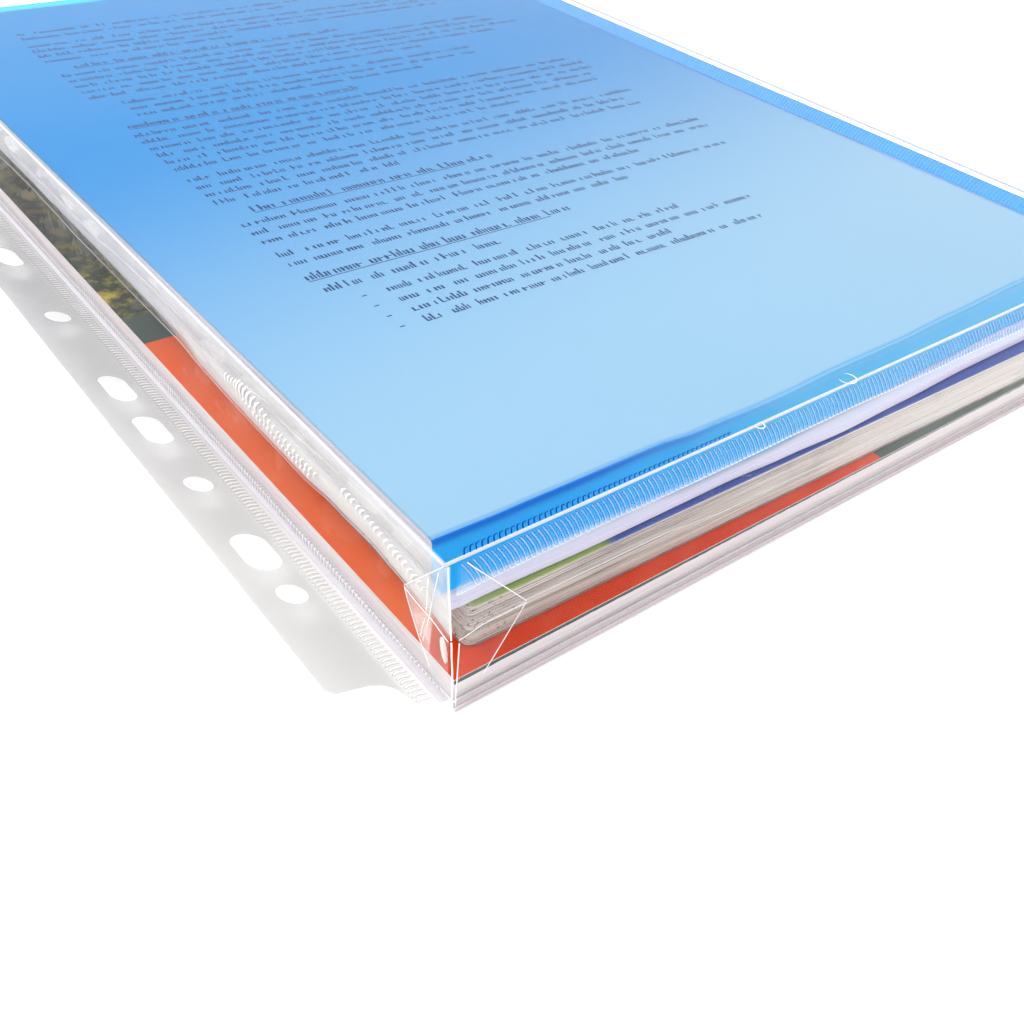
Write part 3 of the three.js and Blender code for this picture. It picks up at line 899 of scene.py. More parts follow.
class POCKET_OT_corners(bpy.types.Operator):
    """Folds the spare film at the bottom corners: upright edges and the tucks beside them"""

    bl_idname = "pocket.corners"
    bl_label = "Corner folds and tucks"

    def execute(self, context):
        film = context.scene.pocket_film
        tuck = clear_film("tuck film", film.tint, 0.01, shine=0.7, streaks=0.04)
        folded = self.folded_film(film)
        fold = edge_film("corner fold line", film.weld_colour, 0.6)
        self.upright_edges(fold)
        for side, name, mirrored in (
            ("left", "left_tuck", False),
            ("bottom", "bottom_left_tuck", False),
            ("bottom", "bottom_right_tuck", True),
            ("right", "right_tuck", False),
        ):
            for half in TUCKS:
                skin = folded if side == "left" else tuck
                self.tuck(side, name, half, mirrored, skin, fold)
        self.caught_arcs(fold)
        self.glare()
        return {"FINISHED"}

    def upright_edges(self, fold):
        """The upright fold at each corner, and a second line beside the left one."""
        for corner in ("left", "right"):
            for half in ("lower", "upper"):
                low, high = edges(f"{corner}_corner_fold_{half}")
                z = np.linspace(low[2], high[2], 18)
                z[0] = 0.12 if half == "lower" else z[0]
                wave = 0.08 * crumple(z, 0, 31, 4, 20)
                x, y = LEAN["left"] * 1.15 * lean(z), LEAN["bottom"] * lean(z)
                x = x if corner == "left" else WIDTH + 0 * z
                path = np.stack([x + wave, y - wave, z], -1)
                size = 0.17 + 0.03 * crumple(z, 0, 32, 3, 12)
                rod = tubes(path, size, (-1, -1, 0), sides=8)
                body = "pocket_back" if half == "lower" else "pocket_front"
                node = [f"{corner}_corner_fold_{half}"]
                make_piece(f"{corner}_corner_edge_{half}", rod, fold, body, node)
        z = np.linspace(0.6, 16.5, 18)
        path = np.stack([0.7 + 0.1 * crumple(z, 0, 33, 5, 20), 0 * z - 0.15, z], -1)
        rod = tubes(path, 0.12, (0, -1, 0), sides=6)
        make_piece("corner_second_line", rod, fold, "bottom_gusset_lower")

    def tuck(self, side, name, half, mirrored, skin, fold):
        """Half of a tuck: the sheet between its four corners, each place a share of the way along
        two sides and then between them, puffed out by a product of two half sines, and the lines
        of its folds."""
        a, b, c, d = (np.array(corner) for corner in TUCKS[half])
        u, v = (w[..., None] for w in grid(14, 16))
        flat = (1 - v) * ((1 - u) * a + u * b) + v * ((1 - u) * d + u * c)
        along = WIDTH - flat[..., 0] if mirrored else flat[..., 0]
        puff = 0.25 * np.sin(np.pi * u) * np.sin(np.pi * v)
        points = wall(side, along, flat[..., 1], OUT["tuck"]) + puff * np.array(OUTWARD[side])
        if side == "left" or mirrored:
            points = points[::-1]
        body, node = f"{side}_gusset_{half}", f"{name}_{half}"
        make_piece(f"{name}_film_{half}", shell(points, 0.14), skin, body, [node])
        lines = [(b, c)] if half == "upper" else [(b, c), (d, c)]
        if side == "left":
            lines.append(np.array(LEFT_INNER_FOLD[half]))
        t = np.linspace(0, 1, 14)[:, None]
        ways = np.array([p + (q - p) * t for p, q in lines])
        along = WIDTH - ways[..., 0] if mirrored else ways[..., 0]
        row = along, ways[..., 1], "tuck fold", 0.1
        wall_rods(f"{name}_fold_{half}", fold, side, half, *row)

    def caught_arcs(self, fold):
        """Small arcs of the weld, caught in the left tuck one above the other."""
        at = np.arange(11, 27, 1.05)[:, None]
        at = at[np.abs(at[:, 0] - CREASE) > 1.1]
        turn = np.linspace(-1.2, 1.2, 8)[None]
        z = at + 0.5 * np.sin(turn)
        along = 8.7 - 0.18 * (at - 13) + 0.6 * np.cos(turn)
        size = 0.14 * taper(np.linspace(-1, 1, 8), 1.03)
        for half, part in (("lower", at[:, 0] < CREASE), ("upper", at[:, 0] > CREASE)):
            rows = along[part], z[part], "tuck arc", size, 6, 0.6
            wall_rods(f"left_tuck_arcs_{half}", fold, "left", half, *rows)

    def glare(self):
        """The glare on the left tuck's bulging film."""
        z = np.linspace(11.2, 17.0, 14)
        row = 2.5 + 0.3 * (z - 16), z, "glare", 1.1 * taper(np.linspace(-1, 1, 14), 1.01), 16, 0.3
        shine = rib_film("tuck glare", linear(252, 250, 248), 0.95, (246, 244, 242))
        wall_rods("left_tuck_glare", shine, "left", "lower", *row)

    def folded_film(self, film):
        """The left tuck: clear next to the corner and milky beyond its inner fold."""
        s = Shader("left tuck film")
        cloud = s.ramp(s.noise(220.0), 0.35, 0.7)
        amount = s.times(s.span(Y, 6.2, 7.0), s.times(cloud, 0.2, 0.12))
        amount = s.math("ADD", amount, 0.03)
        return s.finish(s.gloss(s.film(amount, s.body(film.tint, 0.3)), 1.2, 0.1))


# The binder strip, laid out across it (u, negative outwards) and along it (v)

STRIP_TILT = np.radians(16.3)
STRIP_SINE, STRIP_COSINE = np.sin(STRIP_TILT), np.cos(STRIP_TILT)
STRIP_UP = np.array([STRIP_SINE, 0, STRIP_COSINE])
STRIP_FOLD = (-0.8, 0.35)
STRIP_OUTER, STRIP_ROOT, STRIP_INNER = -18.5, -5.0, -0.3
STRIP_START, TAB_START = 2.0, 10.5
STRIP_END, TAB_END = 310.0, 305.5
STRIP_MIDDLE = (TAB_START + TAB_END) / 2
HOLE_LINE = -10.0
# Each hole's place from the middle, half its width and half its length
HOLES = [(0, 3.2, 3.2), (80, 3.2, 3.2), (120, 3.2, 3.2), (37.5, 3.3, 6.25), (57, 3.3, 6.25)]
HOLES.append((105.5, 4.0, 6.5))
HOLE_CELL, CELL_ROWS = 2.4, 17  # the film beyond a hole's ends, and the rows over it
CORNER, FILLET = 1.5, 5.0


def strip_place(u, v, sag):
    """Strip to pocket: the strip stands up from its fold by the tilt, with low waves and a soft
    bend that lifts its outer edge."""
    w = sag * (crumple(u, v * 0.5, 41, 9, 70) * smooth(-u / 6) + 0.5 * (u / STRIP_OUTER) ** 2)
    x = STRIP_FOLD[0] + u * STRIP_COSINE + w * STRIP_SINE
    z = STRIP_FOLD[1] - u * STRIP_SINE + w * STRIP_COSINE
    return np.stack([x, v + 0 * u, z], -1)


def hole_reach(cosine, sine, radius, half_length):
    """How far a slot's edge lies from its centre along a heading: to its straight side where that
    is met first, and else to the round end, by the root of the end circle's equation."""
    straight = half_length - radius
    side = radius / np.maximum(np.abs(cosine), 1e-9)
    end = straight * np.abs(sine) + np.sqrt(np.maximum(radius**2 - (straight * cosine) ** 2, 0))
    return np.where(side * np.abs(sine) <= straight, side, end)


def hole_patch(centre, radius, half_length, columns):
    """The film round a hole: rings that go from the hole's edge to the rectangle of its cell, each
    point of the rectangle joined straight to the hole's edge in the same direction."""
    low, high = centre - half_length - HOLE_CELL, centre + half_length + HOLE_CELL
    rows = np.linspace(low, high, CELL_ROWS)
    right = np.stack([0 * rows + columns[-1], rows], 1)
    top = np.stack([columns[::-1], 0 * columns + high], 1)
    left = np.stack([0 * rows + columns[0], rows[::-1]], 1)
    foot = np.stack([columns, 0 * columns + low], 1)
    frame_line = np.concatenate([right[:-1], top[:-1], left[:-1], foot[:-1]])
    away = frame_line - (HOLE_LINE, centre)
    far = np.hypot(away[:, 0], away[:, 1])
    cosine, sine = away[:, 0] / far, away[:, 1] / far
    near = hole_reach(cosine, sine, radius, half_length)
    share_out = np.array([0, 0.06, 0.16, 0.35, 0.65, 1.0])[:, None]
    reach = near + (far - near) * share_out
    return np.stack([HOLE_LINE + reach * cosine, centre + reach * sine], -1)


def strip_shape(sag, thickness):
    """The whole strip as one closed skin: patches round the holes, plain rows between them and
    the narrow root beyond the tab's ends, laid flat, thickened and then bent into place."""
    outer, inner = np.linspace(STRIP_OUTER, HOLE_LINE, 15), np.linspace(HOLE_LINE, STRIP_INNER, 17)
    columns = np.concatenate([outer, inner[1:]])
    holes = sorted({(STRIP_MIDDLE + way * p, r, h) for p, r, h in HOLES for way in (-1, 1)})
    points, quads = [], []
    first = 0

    def put(flat, faces):
        nonlocal first
        points.append(flat.reshape(-1, 2))
        quads.append(faces + first)
        first += flat.size // 2

    def rows_between(v0, v1, edge=None):
        count = max(2, int((v1 - v0) / 3) + 2)
        v = np.linspace(v0, v1, count)[:, None] + 0 * columns
        u = np.broadcast_to(columns, v.shape).copy()
        if edge is not None:
            outside = edge(v[:, 0])[:, None]
            part = (columns <= HOLE_LINE)[None]
            way = (HOLE_LINE - columns) / (HOLE_LINE - STRIP_OUTER)
            u = np.where(part, HOLE_LINE + (outside - HOLE_LINE) * way, u)
        put(np.stack([u, v], -1), grid_faces(count, len(columns)))

    def rounded(v):
        inside = np.minimum(v - TAB_START, TAB_END - v)
        gap = np.clip(CORNER - inside, 0, CORNER)
        return STRIP_OUTER + CORNER - np.sqrt(CORNER**2 - gap**2)

    part = (inner - HOLE_LINE) / (STRIP_INNER - HOLE_LINE)
    for v0, v1 in ((STRIP_START, TAB_START), (TAB_END, STRIP_END)):
        v = np.linspace(v0, v1, 16)[:, None]
        beyond = np.minimum(np.abs(v - TAB_START), np.abs(v - TAB_END))
        arc = np.sqrt(np.clip(FILLET**2 - np.clip(FILLET - beyond, 0, FILLET) ** 2, 0, None))
        outside = STRIP_ROOT - FILLET + arc
        u = outside + (STRIP_INNER - outside) * part
        put(np.stack([u, v + 0 * u], -1), grid_faces(16, len(inner)))

    rows_between(TAB_START, TAB_START + CORNER, rounded)
    at = TAB_START + CORNER
    for centre, radius, half in holes:
        low, high = centre - half - HOLE_CELL, centre + half + HOLE_CELL
        if low - at > 1e-6:
            rows_between(at, low)
        ring = hole_patch(centre, radius, half, columns)
        a, b, c, d = ring_faces(*ring.shape[:2]).T
        put(ring, np.stack([a, d, c, b], 1))
        at = high
    rows_between(at, TAB_END - CORNER)
    rows_between(TAB_END - CORNER, TAB_END, rounded)

    flat, faces = np.concatenate(points), np.concatenate(quads)
    _, keep, back = np.unique(flat.round(4), axis=0, return_index=True, return_inverse=True)
    flat, faces = flat[keep], back.reshape(-1)[faces]
    place = strip_place(flat[:, 0], flat[:, 1], sag)
    a, b, c = (place[faces[:, n]] for n in range(3))
    facing = np.cross(b - a, c - a)[:, 2]
    faces = np.where((facing < 0)[:, None], faces[:, ::-1], faces)
    up = STRIP_UP * thickness / 2
    n = len(place)
    sides = np.stack([faces.ravel(), np.roll(faces, -1, axis=1).ravel()], 1).tolist()
    met = {tuple(edge) for edge in sides}
    rim = np.array([edge for edge in sides if (edge[1], edge[0]) not in met])
    walls = np.stack([rim[:, 1], rim[:, 0], rim[:, 0] + n, rim[:, 1] + n], 1)
    all_faces = np.concatenate([faces, faces[:, ::-1] + n, walls])
    return np.concatenate([place + up, place - up]), all_faces


class POCKET_OT_strip(bpy.types.Operator):
    """Makes the frosted binder strip with its holes and the ribs of its weld"""

    bl_idname = "pocket.strip"
    bl_label = "Binder strip"

    def execute(self, context):
        strip = context.scene.pocket_strip
        film = context.scene.pocket_film
        frost = self.frosted(strip)
        shape, nodes = strip_shape(strip.sag, 0.3), ["punched_strip"]
        make_piece("binder_strip_film", shape, frost, "binder_strip", nodes)

        ribs = rib_film("strip rib", film.weld_colour, 1.0, (243, 243, 243))
        at = np.arange(STRIP_START + 1.5, STRIP_END - 1.5, 1.25)[:, None]
        t = np.linspace(0, 1, 8)[None]
        u = -1.3 - 3.3 * t
        v = at + 0.5 * np.sin(np.pi * t)
        bed = strip_place(u, v, strip.sag)
        bed[..., 2] += 0.22
        size = 0.42 * taper((2 * t - 1) ** 2, 1.02, 1)
        shape = tubes(bed, size, STRIP_UP, sides=6, flat=0.5)
        make_piece("strip_ribs", shape, ribs, "binder_strip", ["strip_weld_band"])
        return {"FINISHED"}

    def frosted(self, strip):
        """Frosted film: a greyer view through it further from the corner, and a painted highlight
        at its root near the corner.
        """
        s = Shader("frosted film")
        tint = s.mix(s.span(Y, 20, 190), strip.tint, strip.tint_far)
        # Painted highlight: clearer and whiter at the root near the corner.
        painted_highlight = s.times(s.span(X, -6.5, -4), s.times(s.span(Y, 95, 20), 0.55, 0.15))
        tint = s.mix(painted_highlight, tint, CLEAR)
        amount = s.times(s.ramp(s.noise(25.0), 0.4, 0.7), 0.06, strip.haze)
        return s.finish(s.gloss(s.film(amount, s.body((0.93, 0.93, 0.92)), tint), 0.8, 0.2))


# Documents


SIDE_POINTS, CORNER_POINTS = 60, 8


def rectangle(x0, x1, y0, y1, r):
    """A loop of points round a rectangle, anticlockwise, whose two corners at the foot are round
    with radius r. x0, x1, y0 and y1 are arrays with one value for each level."""
    x0, x1, y0, y1 = (v[:, None] for v in (x0, x1, y0, y1))
    t = np.linspace(0, 1, SIDE_POINTS, endpoint=False)[None]
    turn = np.linspace(0, np.pi / 2, CORNER_POINTS, endpoint=False)[None]
    turned, rest = r - r * np.cos(turn), r - r * np.sin(turn)
    sides = [(x0 + r + (x1 - x0 - 2 * r) * t, y0), (x1 - rest, y0 + turned)]
    sides += [(x1, y0 + r + (y1 - y0 - r) * t), (x1 + (x0 - x1) * t, y1)]
    sides += [(x0, y1 + (y0 + r - y1) * t), (x0 + turned, y0 + rest)]
    if r == 0:
        del sides[1], sides[-1]
    return np.concatenate([np.stack(np.broadcast_arrays(*side), -1) for side in sides], 1)


def leaves(across, along, up, pitch, seed, uneven, radius=0.0, lean=None, foot_line=None):
    """A block of leaves between two places across, along and up: its height is cut into leaves of
    uneven thickness, and each leaf is moved out or in by its own small amount, with waves along
    its edge. lean gives the added place of the left and the foot edge at a height, and foot_line
    that of the foot edge at a place."""
    (x0, x1), (y0, y1), (z0, z1) = across, along, up
    rng = np.random.default_rng(seed)
    count = max(6, int((z1 - z0) / pitch))
    cuts = np.cumsum(rng.uniform(0.5, 1.5, count))
    cuts = z0 + (z1 - z0) * np.concatenate([[0], cuts / cuts[-1]])
    z = np.stack([cuts[:-1], cuts[1:]], 1).ravel()
    shift = np.repeat(np.abs(rng.normal(0, uneven, (count, 2))), 2, axis=0)
    added = np.zeros((len(z), 2)) if lean is None else lean(z)
    left, foot = x0 + shift[:, 0] + added[:, 0], y0 + shift[:, 1] + added[:, 1]
    loop = rectangle(left, x1 + 0 * z, foot, y1 + 0 * z, radius)
    wave = 0.05 * crumple(loop[..., 0], loop[..., 1] + 30 * z[:, None], seed, 15, 90)
    middle = np.array([(x0 + x1) / 2, (y0 + y1) / 2])
    loop = loop + np.sign(middle - loop) * np.abs(wave)[..., None]
    if foot_line:
        share_here = smooth(1 - (loop[..., 1] - y0) / 25)
        loop[..., 1] += foot_line(loop[..., 0], z[:, None]) * share_here
    levels = np.broadcast_to(z[:, None, None], (*loop.shape[:2], 1))
    return stack(np.concatenate([loop, levels], -1))


# (x, y) of the cover's bend line, and (x, shift) of the foot of the folder's lowest sheets
BEND_LINE = [(-2, 8.3), (17, 7.8), (33, 7.6), (50, 7.5), (61, 6.6), (82, 6.3), (104, 7.1)]
BEND_LINE += [(125, 7.2), (144, 8.0), (176, 9.0), (224, 8.6)]
FORWARD_LINE = [(0, -0.5), (10, -0.6), (39, -1.3), (71, -1.4), (89, -2.2), (108, -2.9), (130, -2.5)]
FORWARD_LINE += [(155, -1.9), (224, -1.7)]
FLAP_FOOT, SHEETS_TOP = 20.9, 32.85


def lean_of_sheets(z):
    """How far the folder's sheets stand back at their left and their foot: at the left they give
    way to the crease of the film below, and at the foot the lower ones stand forward."""
    left = 0.9 * smooth((25.5 - z) / 6) - 1.5 * smooth((z - 28) / 4)
    foot = -2.0 * smooth((21.2 - z) / 2.5)
    return np.stack([left, foot], 1)


# The printed paragraphs: where a row starts and ends, the number of rows and their height
PARAGRAPHS = [(28, 178, 2, 2.6), (27, 176, 4, 2.6), (33, 120, 1, 3.1), (27, 178, 5, 2.6)]
PARAGRAPHS += [(34, 150, 3, 2.6), (28, 100, 1, 3.1), (27, 176, 6, 2.6), (27, 172, 4, 2.6)]
PARAGRAPHS += [(33, 96, 1, 3.1), (27, 178, 3, 2.6), (27, 176, 2, 2.6), (27, 96, 1, 3.2)]
PARAGRAPHS += [(28, 74, 1, 2.9), (40, 162, 4, 2.6)]
FIRST_ROW = 280.0


def printed_lines(settings, top):
    """Short dashes in rows in place of the printed words: each dash is a flat leaf, its height and
    length drawn at random, and a row is left early at the end of a paragraph."""
    rng = np.random.default_rng(77)
    y = FIRST_ROW
    boxes = []
    for block, (start, stop, count, size) in enumerate(PARAGRAPHS):
        for line in range(count):
            end = stop
            if line == count - 1 and count > 1:
                end = start + rng.uniform(0.35, 0.8) * (stop - start)
            if block == len(PARAGRAPHS) - 1:
                end = start + rng.uniform(0.3, 1.0) * (stop - start)
                boxes.append((start - 6.4, start - 5.2, y + 0.8, y + 1.15))
            x = start
            while x < end:
                for _ in range(rng.integers(2, 9)):
                    w = rng.uniform(0.4, 0.64) * size
                    tall = size * rng.choice([0.6, 1.0], p=[0.75, 0.25])
                    boxes.append((x, x + w * 0.36, y, y + tall))
                    if rng.random() < 0.35:
                        low = y + rng.choice([0, 0.36]) * size
                        boxes.append((x, x + w, low, low + 0.3))
                    if rng.random() < 0.65:
                        boxes.append((x + w * 0.68, x + w, y, y + size * 0.6))
                    x += w + rng.uniform(0.28, 0.4)
                x += rng.uniform(1.5, 2.3)
            if size > 2.9:
                boxes.append((start, end, y - 0.75, y - 0.5))
            y -= settings.line_pitch
        y -= 2.6 if size < 2.7 else 1.4
    box = np.array(boxes)
    x0, x1, y0, y1 = box.T
    z0, z1 = top + 0.005, top + 0.03
    corners = [(x0, y0), (x1, y0), (x1, y1), (x0, y1)]
    ring = np.stack([np.stack(c, -1) for c in corners], 1)
    n = len(box)
    foot = np.concatenate([ring, np.full((n, 4, 1), z0)], -1)
    head = np.concatenate([ring, np.full((n, 4, 1), z1)], -1)
    verts = np.concatenate([foot, head], 1).reshape(-1, 3)
    base = np.arange(n)[:, None] * 8
    sides = [[3, 2, 1, 0], [4, 5, 6, 7], [0, 1, 5, 4], [1, 2, 6, 5], [2, 3, 7, 6], [3, 0, 4, 7]]
    return verts, np.concatenate([base + np.array(side) for side in sides])


class POCKET_OT_folder(bpy.types.Operator):
    """Makes the flap folder: its sheets, their printed lines, the back sheet and the cover"""

    bl_idname = "pocket.folder"
    bl_label = "Flap folder"

    def execute(self, context):
        folder = context.scene.pocket_folder
        low, high = edges("folder_pages")
        # Tones of painted shade for the sheets' left faces, far and near, and for their front faces
        painted_shades = linear(172, 178, 186), linear(212, 210, 216), linear(204, 199, 222)
        dark = linear(176, 166, 204)
        sheets = paper_stack("folder sheets", folder.paper, dark, 0.9, 0.0, painted_shades=painted_shades)

        def foot_line(x, z):
            forward = curve(x, FORWARD_LINE) * smooth((20.6 - z) / 1.5)
            return forward + (curve(x, BEND_LINE) + 0.45 - low[1]) * smooth((z - 21) / 3)

        block = zip(low, (high[0], high[1], SHEETS_TOP))
        shape = leaves(*block, 0.5, 51, 0.07, lean=lean_of_sheets, foot_line=foot_line)
        make_piece("folder_sheets", shape, sheets, "folder", ["folder_pages"])
        ink = mottled("print", 900.0, folder.print_colour, linear(24, 78, 150), 0.7)
        shape = printed_lines(folder, SHEETS_TOP)
        make_piece("printed_lines", shape, ink, "folder")

        low, high = edges("folder_back_cover")
        u, v = grid(60, 80)
        x = low[0] + 3.2 + (high[0] - low[0] - 3.2) * u
        foot = low[1] - 1.8 + curve(x, FORWARD_LINE)
        y = foot + (high[1] - foot) * v
        z = (low[2] + high[2]) / 2 + 0.03 * crumple(x, y, 8, 20, 90)
        back = clear_film("folder back", linear(226, 234, 246), 0.65, roughness=0.3)
        shape = shell(np.stack([x, y, z], -1), 0.22)
        make_piece("folder_back_sheet", shape, back, "folder", ["folder_back_cover"])
        film, nodes = self.cover_film(folder), ["folder_front_cover"]
        make_piece("folder_cover", self.cover(), film, "folder", nodes)
        return {"FINISHED"}

    def cover(self):
        """The cover's profile carried along x: flat from the mouth to the bend line, a quarter
        circle of 1 mm, and down to the flap's foot with a slight flare. The bend line waves."""
        low, high = edges("folder_front_cover")
        rows, turn, down = 90, 10, 16
        x = np.linspace(low[0] - 1.5, high[0], 150)[:, None]
        bend = curve(x, BEND_LINE)
        radius = 0.7
        top = SHEETS_TOP + 0.27
        w = np.linspace(0, 1, rows)[None] ** 0.7
        y_flat = high[1] + (bend + radius - high[1]) * w
        z_flat = top + 0.07 * crumple(x, y_flat, 61, 30, 160)
        a = np.linspace(0, np.pi / 2, turn + 1)[None, 1:]
        end = z_flat[:, -1:]
        y_turn, z_turn = bend + radius - radius * np.sin(a), end - radius + radius * np.cos(a)
        t = np.linspace(0, 1, down + 1)[None, 1:]
        z_down = end - radius - (end - radius - FLAP_FOOT) * t
        y_down = bend - 0.5 * t * t + 0.15 * crumple(x, z_down * 2, 62, 12, 60) * t
        y = np.concatenate([y_flat, y_turn, y_down], 1)
        z = np.concatenate([z_flat, z_turn, z_down], 1)
        points = np.stack([x + 0 * y, y, z], -1)
        past = ((bend + 0.75 - y) / 0.35 + 0 * z)[::-1].ravel()
        verts, faces = shell(points[::-1], 0.26)
        return verts, faces, np.tile(past, 2)

    def cover_film(self, folder):
        """Translucent blue plastic: deeper blue at the upper left and paler towards the front by a
        painted sheen, darkest in the bend, and clear strong blue on the flap; the bend and the flap
        turn paler to the right by a painted sheen. Light crosses its two faces twice, so each face
        takes the fourth root of the whole colour. The attribute rim goes from 0 to 1 where the flat
        part ends."""
        s = Shader("folder film")
        along = s.times(s.part(X), -0.15, s.part(Y))
        middle = ORIGIN[Y] - 0.15 * ORIGIN[X]
        # Painted sheen: lighter towards the front, as a lamp's reflection would make it.
        painted_sheen_fade = s.ramp(along, middle + 20 * MM, middle + 190 * MM)
        total = s.mix(painted_sheen_fade, folder.cover, folder.cover_deep)
        past = s.rim()
        total = s.mix(s.times(s.ramp(past, -2.3, -1.9), 0.4), total, folder.cover_deep)
        sheets_end = edges("folder_pages")[1][X]
        total = s.mix(s.span(X, sheets_end - 1.2, sheets_end - 0.2), total, linear(4, 96, 204))
        falls = s.ramp(past, 0.0, 1.0)
        # Painted sheen: the bend and the flap turn paler towards the right.
        pale = s.span(X, 25, 95)
        total = s.mix(falls, total, s.mix(pale, folder.bend, linear(126, 204, 242)))
        total = s.mix(s.span(Z, 33.0, 30.9), total, s.mix(pale, folder.flap, folder.flap_sheen))
        face = s.add("ShaderNodeGamma", {"Color": total, "Gamma": 0.25})
        body = s.body(total, 0.3, {"Specular IOR Level": 0.1})
        return s.finish(s.gloss(s.film(s.times(falls, 0.5, 0.03), body, face), 0.7, 0.12))


BOOK_TURN = np.radians(1.1)  # how far the book lies askew, clockwise from above


class POCKET_OT_books(bpy.types.Operator):
    """Makes the page blocks of the book and the catalogue and prints their covers"""

    bl_idname = "pocket.books"
    bl_label = "Book and catalogue"

    def execute(self, context):
        books = context.scene.pocket_book
        low, high = edges("book_pages")
        pages = paper_stack("book pages", books.book_paper, linear(104, 92, 90), 1.0, 0.1, 0.25)
        # The book lies askew. The box round it is, each way, its own size in that direction times
        # the cosine plus its other size times the sine, which gives both sizes back.
        cosine, sine = np.cos(BOOK_TURN), np.sin(BOOK_TURN)
        wide, long, _ = high - low
        across = (wide * cosine - long * sine) / (cosine**2 - sine**2)
        along = (long * cosine - wide * sine) / (cosine**2 - sine**2)
        block = (0, across), (0, along), (low[2], high[2])
        points, *rest = leaves(*block, 0.3, 52, 0.14, radius=1.2)
        points = points @ np.array([(cosine, -sine, 0), (sine, cosine, 0), (0, 0, 1)])
        points = points + (low[0], high[1] - along * cosine, 0)
        make_piece("book_block", (points, *rest), pages, "book", ["book_pages"])
        dress(["book_front_cover", "book_spine"], self.book_cover(books))
        # The back cover's dark brown is partly painted shadow under the book.
        under = mottled("book back shadow", 300.0, linear(112, 92, 88), linear(176, 160, 154))
        dress(["book_back_cover"], under)

        low, high = edges("catalogue_pages")
        tones = books.catalogue_paper, linear(206, 198, 204)
        pages = paper_stack("catalogue pages", *tones, 0.6, 0.2, dark_above=high[2] - 1.3)
        shape = leaves(*zip(low, high), 0.28, 53, 0.02)
        nodes = ["catalogue_pages"]
        make_piece("catalogue_block", shape, pages, "catalogue", nodes)
        dress(["catalogue_front_cover", "catalogue_spine"], self.catalogue_cover(books))
        tones = linear(206, 198, 202), linear(186, 178, 184)
        dress(["catalogue_back_cover"], mottled("catalogue back", 120.0, *tones, 0.4))
        return {"FINISHED"}

    def book_cover(self, books):
        """Green near the strip and blue further on, with a scuffed edge between."""
        s = Shader("book cover")
        across = s.math("ADD", s.part(X), s.times(s.noise(40.0), 0.02, -0.01))
        middle = ORIGIN[X] + 42 * MM
        right = s.ramp(across, middle - 2 * MM, middle + 2 * MM)
        base = s.mix(right, books.book_green, books.book_blue)
        worn = s.ramp(s.noise(350.0, detail=5.0), 0.62, 0.75)
        base = s.mix(s.times(worn, 0.5), base, linear(206, 200, 190))
        return s.finish(s.body(base, 0.45, {"Specular IOR Level": 0.3}))

    def catalogue_cover(self, books):
        """An orange corner, a plain green band round it and a mottled leafy part beyond."""
        s = Shader("catalogue cover")
        line_x, line_y = 122, 131
        beyond = s.math("MAXIMUM", s.span(X, line_x, line_x + 0.4), s.span(Y, line_y, line_y + 0.4))
        mottle = s.noise(230.0, detail=6.0, roughness=0.75)
        leafy = s.mix(s.ramp(mottle, 0.46, 0.66), linear(34, 48, 34), books.leaf)
        glow = s.ramp(s.noise(90.0, detail=3.0), 0.56, 0.74)
        leafy = s.mix(s.times(glow, 0.75), leafy, linear(216, 190, 80))
        fade = s.span(Y, line_y + 25, line_y + 70)
        leafy = s.mix(s.times(fade, 0.75), leafy, linear(10, 18, 14))
        rest = s.mix(s.span(Y, line_y + 12, line_y + 16), books.green, leafy)
        # Painted light: the orange is lighter in patches near the left corner.
        left = s.times(s.span(X, 22, 6), s.span(Y, 7, 16))
        painted_light = s.times(s.ramp(s.noise(90.0), 0.4, 0.8), 0.2, s.times(left, 0.5))
        warm = s.mix(painted_light, books.orange, linear(244, 118, 50))
        base = s.mix(beyond, warm, rest)
        specks = s.ramp(s.noise(1600.0, detail=2.0), 0.74, 0.8)
        base = s.mix(s.times(specks, 0.7), base, linear(250, 200, 160))
        cover_top = edges("catalogue_front_cover")[1][Z]
        cut = s.math("LESS_THAN", s.part(Z), (cover_top - 0.1) * MM)
        base = s.mix(cut, base, linear(236, 228, 222))
        return s.finish(s.body(base, 0.5, {"Specular IOR Level": 0.08}))


CAMERA_PLACE = (-78.7, -100.6, 152.3)
FLOOR_SIZE, FLOOR_BELOW = 8, 0.0003  # in metres


def facing(place, back, roll=0.0):
    """The matrix of a thing at a place that looks away from back, turned about that view."""
    back = unit(back)
    level = unit(np.cross([0, 0, 1], back))
    upright = np.cross(back, level)
    right = np.cos(roll) * level + np.sin(roll) * upright
    turned = np.eye(4)
    turned[:3] = np.stack([right, np.cross(back, right), back, place], 1)
    return turned.T.tolist()


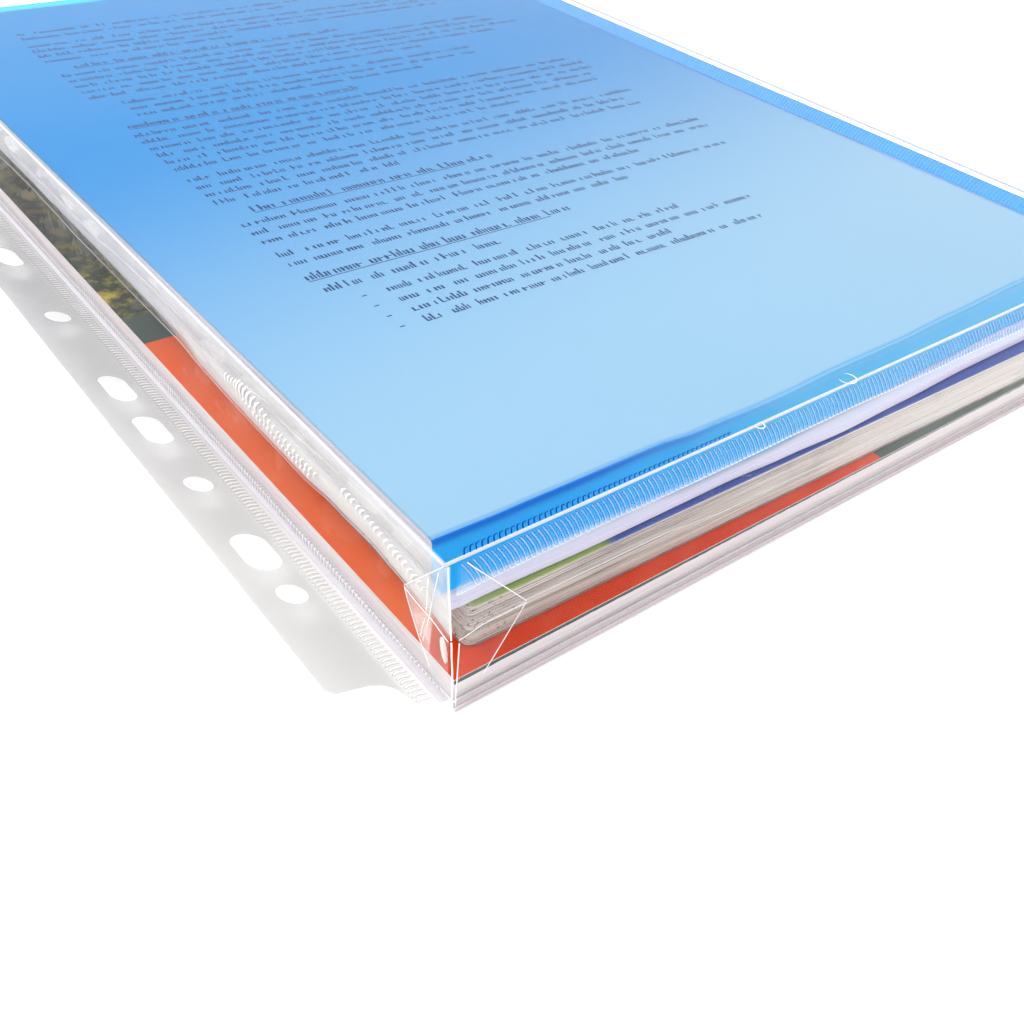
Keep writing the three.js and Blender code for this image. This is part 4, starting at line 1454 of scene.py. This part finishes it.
class POCKET_OT_stage(bpy.types.Operator):
    """Sets the camera, the lamps and the pale floor"""

    bl_idname = "pocket.stage"
    bl_label = "Camera, light and floor"

    def execute(self, context):
        stage = context.scene.pocket_stage
        scene = context.scene
        scene.view_settings.view_transform = "Standard"
        scene.cycles.transparent_max_bounces = 48
        azimuth, elevation, roll = np.radians([stage.azimuth, stage.elevation, stage.roll])
        back = np.array([np.sin(azimuth), -np.cos(azimuth), np.tan(elevation)])
        data = bpy.data.cameras.new("camera")
        data.sensor_width = 36
        data.lens = stage.focal_length
        data.clip_start = 0.01
        camera = bpy.data.objects.new("camera", data)
        scene.collection.objects.link(camera)
        camera.matrix_world = facing(placed(CAMERA_PLACE), back, roll)
        scene.camera = camera

        world = bpy.data.worlds.new("soft room")
        world.use_nodes = True
        light = world.node_tree.nodes["Background"]
        light.inputs["Color"].default_value = (1, 0.99, 0.975, 1)
        light.inputs["Strength"].default_value = stage.world_light
        scene.world = world

        self.lamp("key lamp", (-420, 420, 620), 0.6, stage.key_light)
        self.lamp("fill lamp", (500, -300, 500), 0.5, stage.key_light * 0.3)

        glow = {"Emission Color": (1, 1, 1), "Emission Strength": 0.2}
        white = mottled("floor", 4.0, (0.93, 0.93, 0.93), (0.96, 0.96, 0.96), 0.9, glow)
        bpy.ops.mesh.primitive_plane_add(size=FLOOR_SIZE, location=(0, 0, -FLOOR_BELOW))
        floor = context.object
        floor.name = "floor"
        floor.data.materials.append(white)
        return {"FINISHED"}

    def lamp(self, name, place, size, power):
        """A square soft lamp at a place in millimetres from the middle, which it faces."""
        data = bpy.data.lights.new(name, "AREA")
        data.size = size
        data.energy = power
        lamp = bpy.data.objects.new(name, data)
        bpy.context.scene.collection.objects.link(lamp)
        lamp.matrix_world = facing(np.array(place) * MM, np.array(place))


# Running it

SETTINGS = {
    "pocket_film": PocketFilmSettings,
    "pocket_strip": PocketStripSettings,
    "pocket_folder": PocketFolderSettings,
    "pocket_book": PocketBookSettings,
    "pocket_stage": PocketStageSettings,
}
OPERATORS = (
    POCKET_OT_stage,
    POCKET_OT_panels,
    POCKET_OT_walls,
    POCKET_OT_welds,
    POCKET_OT_corners,
    POCKET_OT_strip,
    POCKET_OT_folder,
    POCKET_OT_books,
)


class POCKET_PT_panel(bpy.types.Panel):
    """Lists the tools and their settings"""

    bl_idname = "POCKET_PT_panel"
    bl_label = "Expanding document pocket"
    bl_space_type = "VIEW_3D"
    bl_region_type = "UI"
    bl_category = "Pocket"

    def draw(self, context):
        for operator in OPERATORS:
            self.layout.operator(operator.bl_idname)
        for name, group in SETTINGS.items():
            box = self.layout.box()
            box.label(text=group.__doc__)
            for prop in group.__annotations__:
                box.prop(getattr(context.scene, name), prop)


def register():
    for cls in (*SETTINGS.values(), *OPERATORS, POCKET_PT_panel):
        bpy.utils.register_class(cls)
    for name, group in SETTINGS.items():
        setattr(bpy.types.Scene, name, bpy.props.PointerProperty(type=group))


def unregister():
    for name in SETTINGS:
        delattr(bpy.types.Scene, name)
    for cls in reversed((*SETTINGS.values(), *OPERATORS, POCKET_PT_panel)):
        bpy.utils.unregister_class(cls)


def main():
    register()
    for operator in OPERATORS:
        group, name = operator.bl_idname.split(".")
        getattr(getattr(bpy.ops, group), name)()


if __name__ == "__main__":
    main()
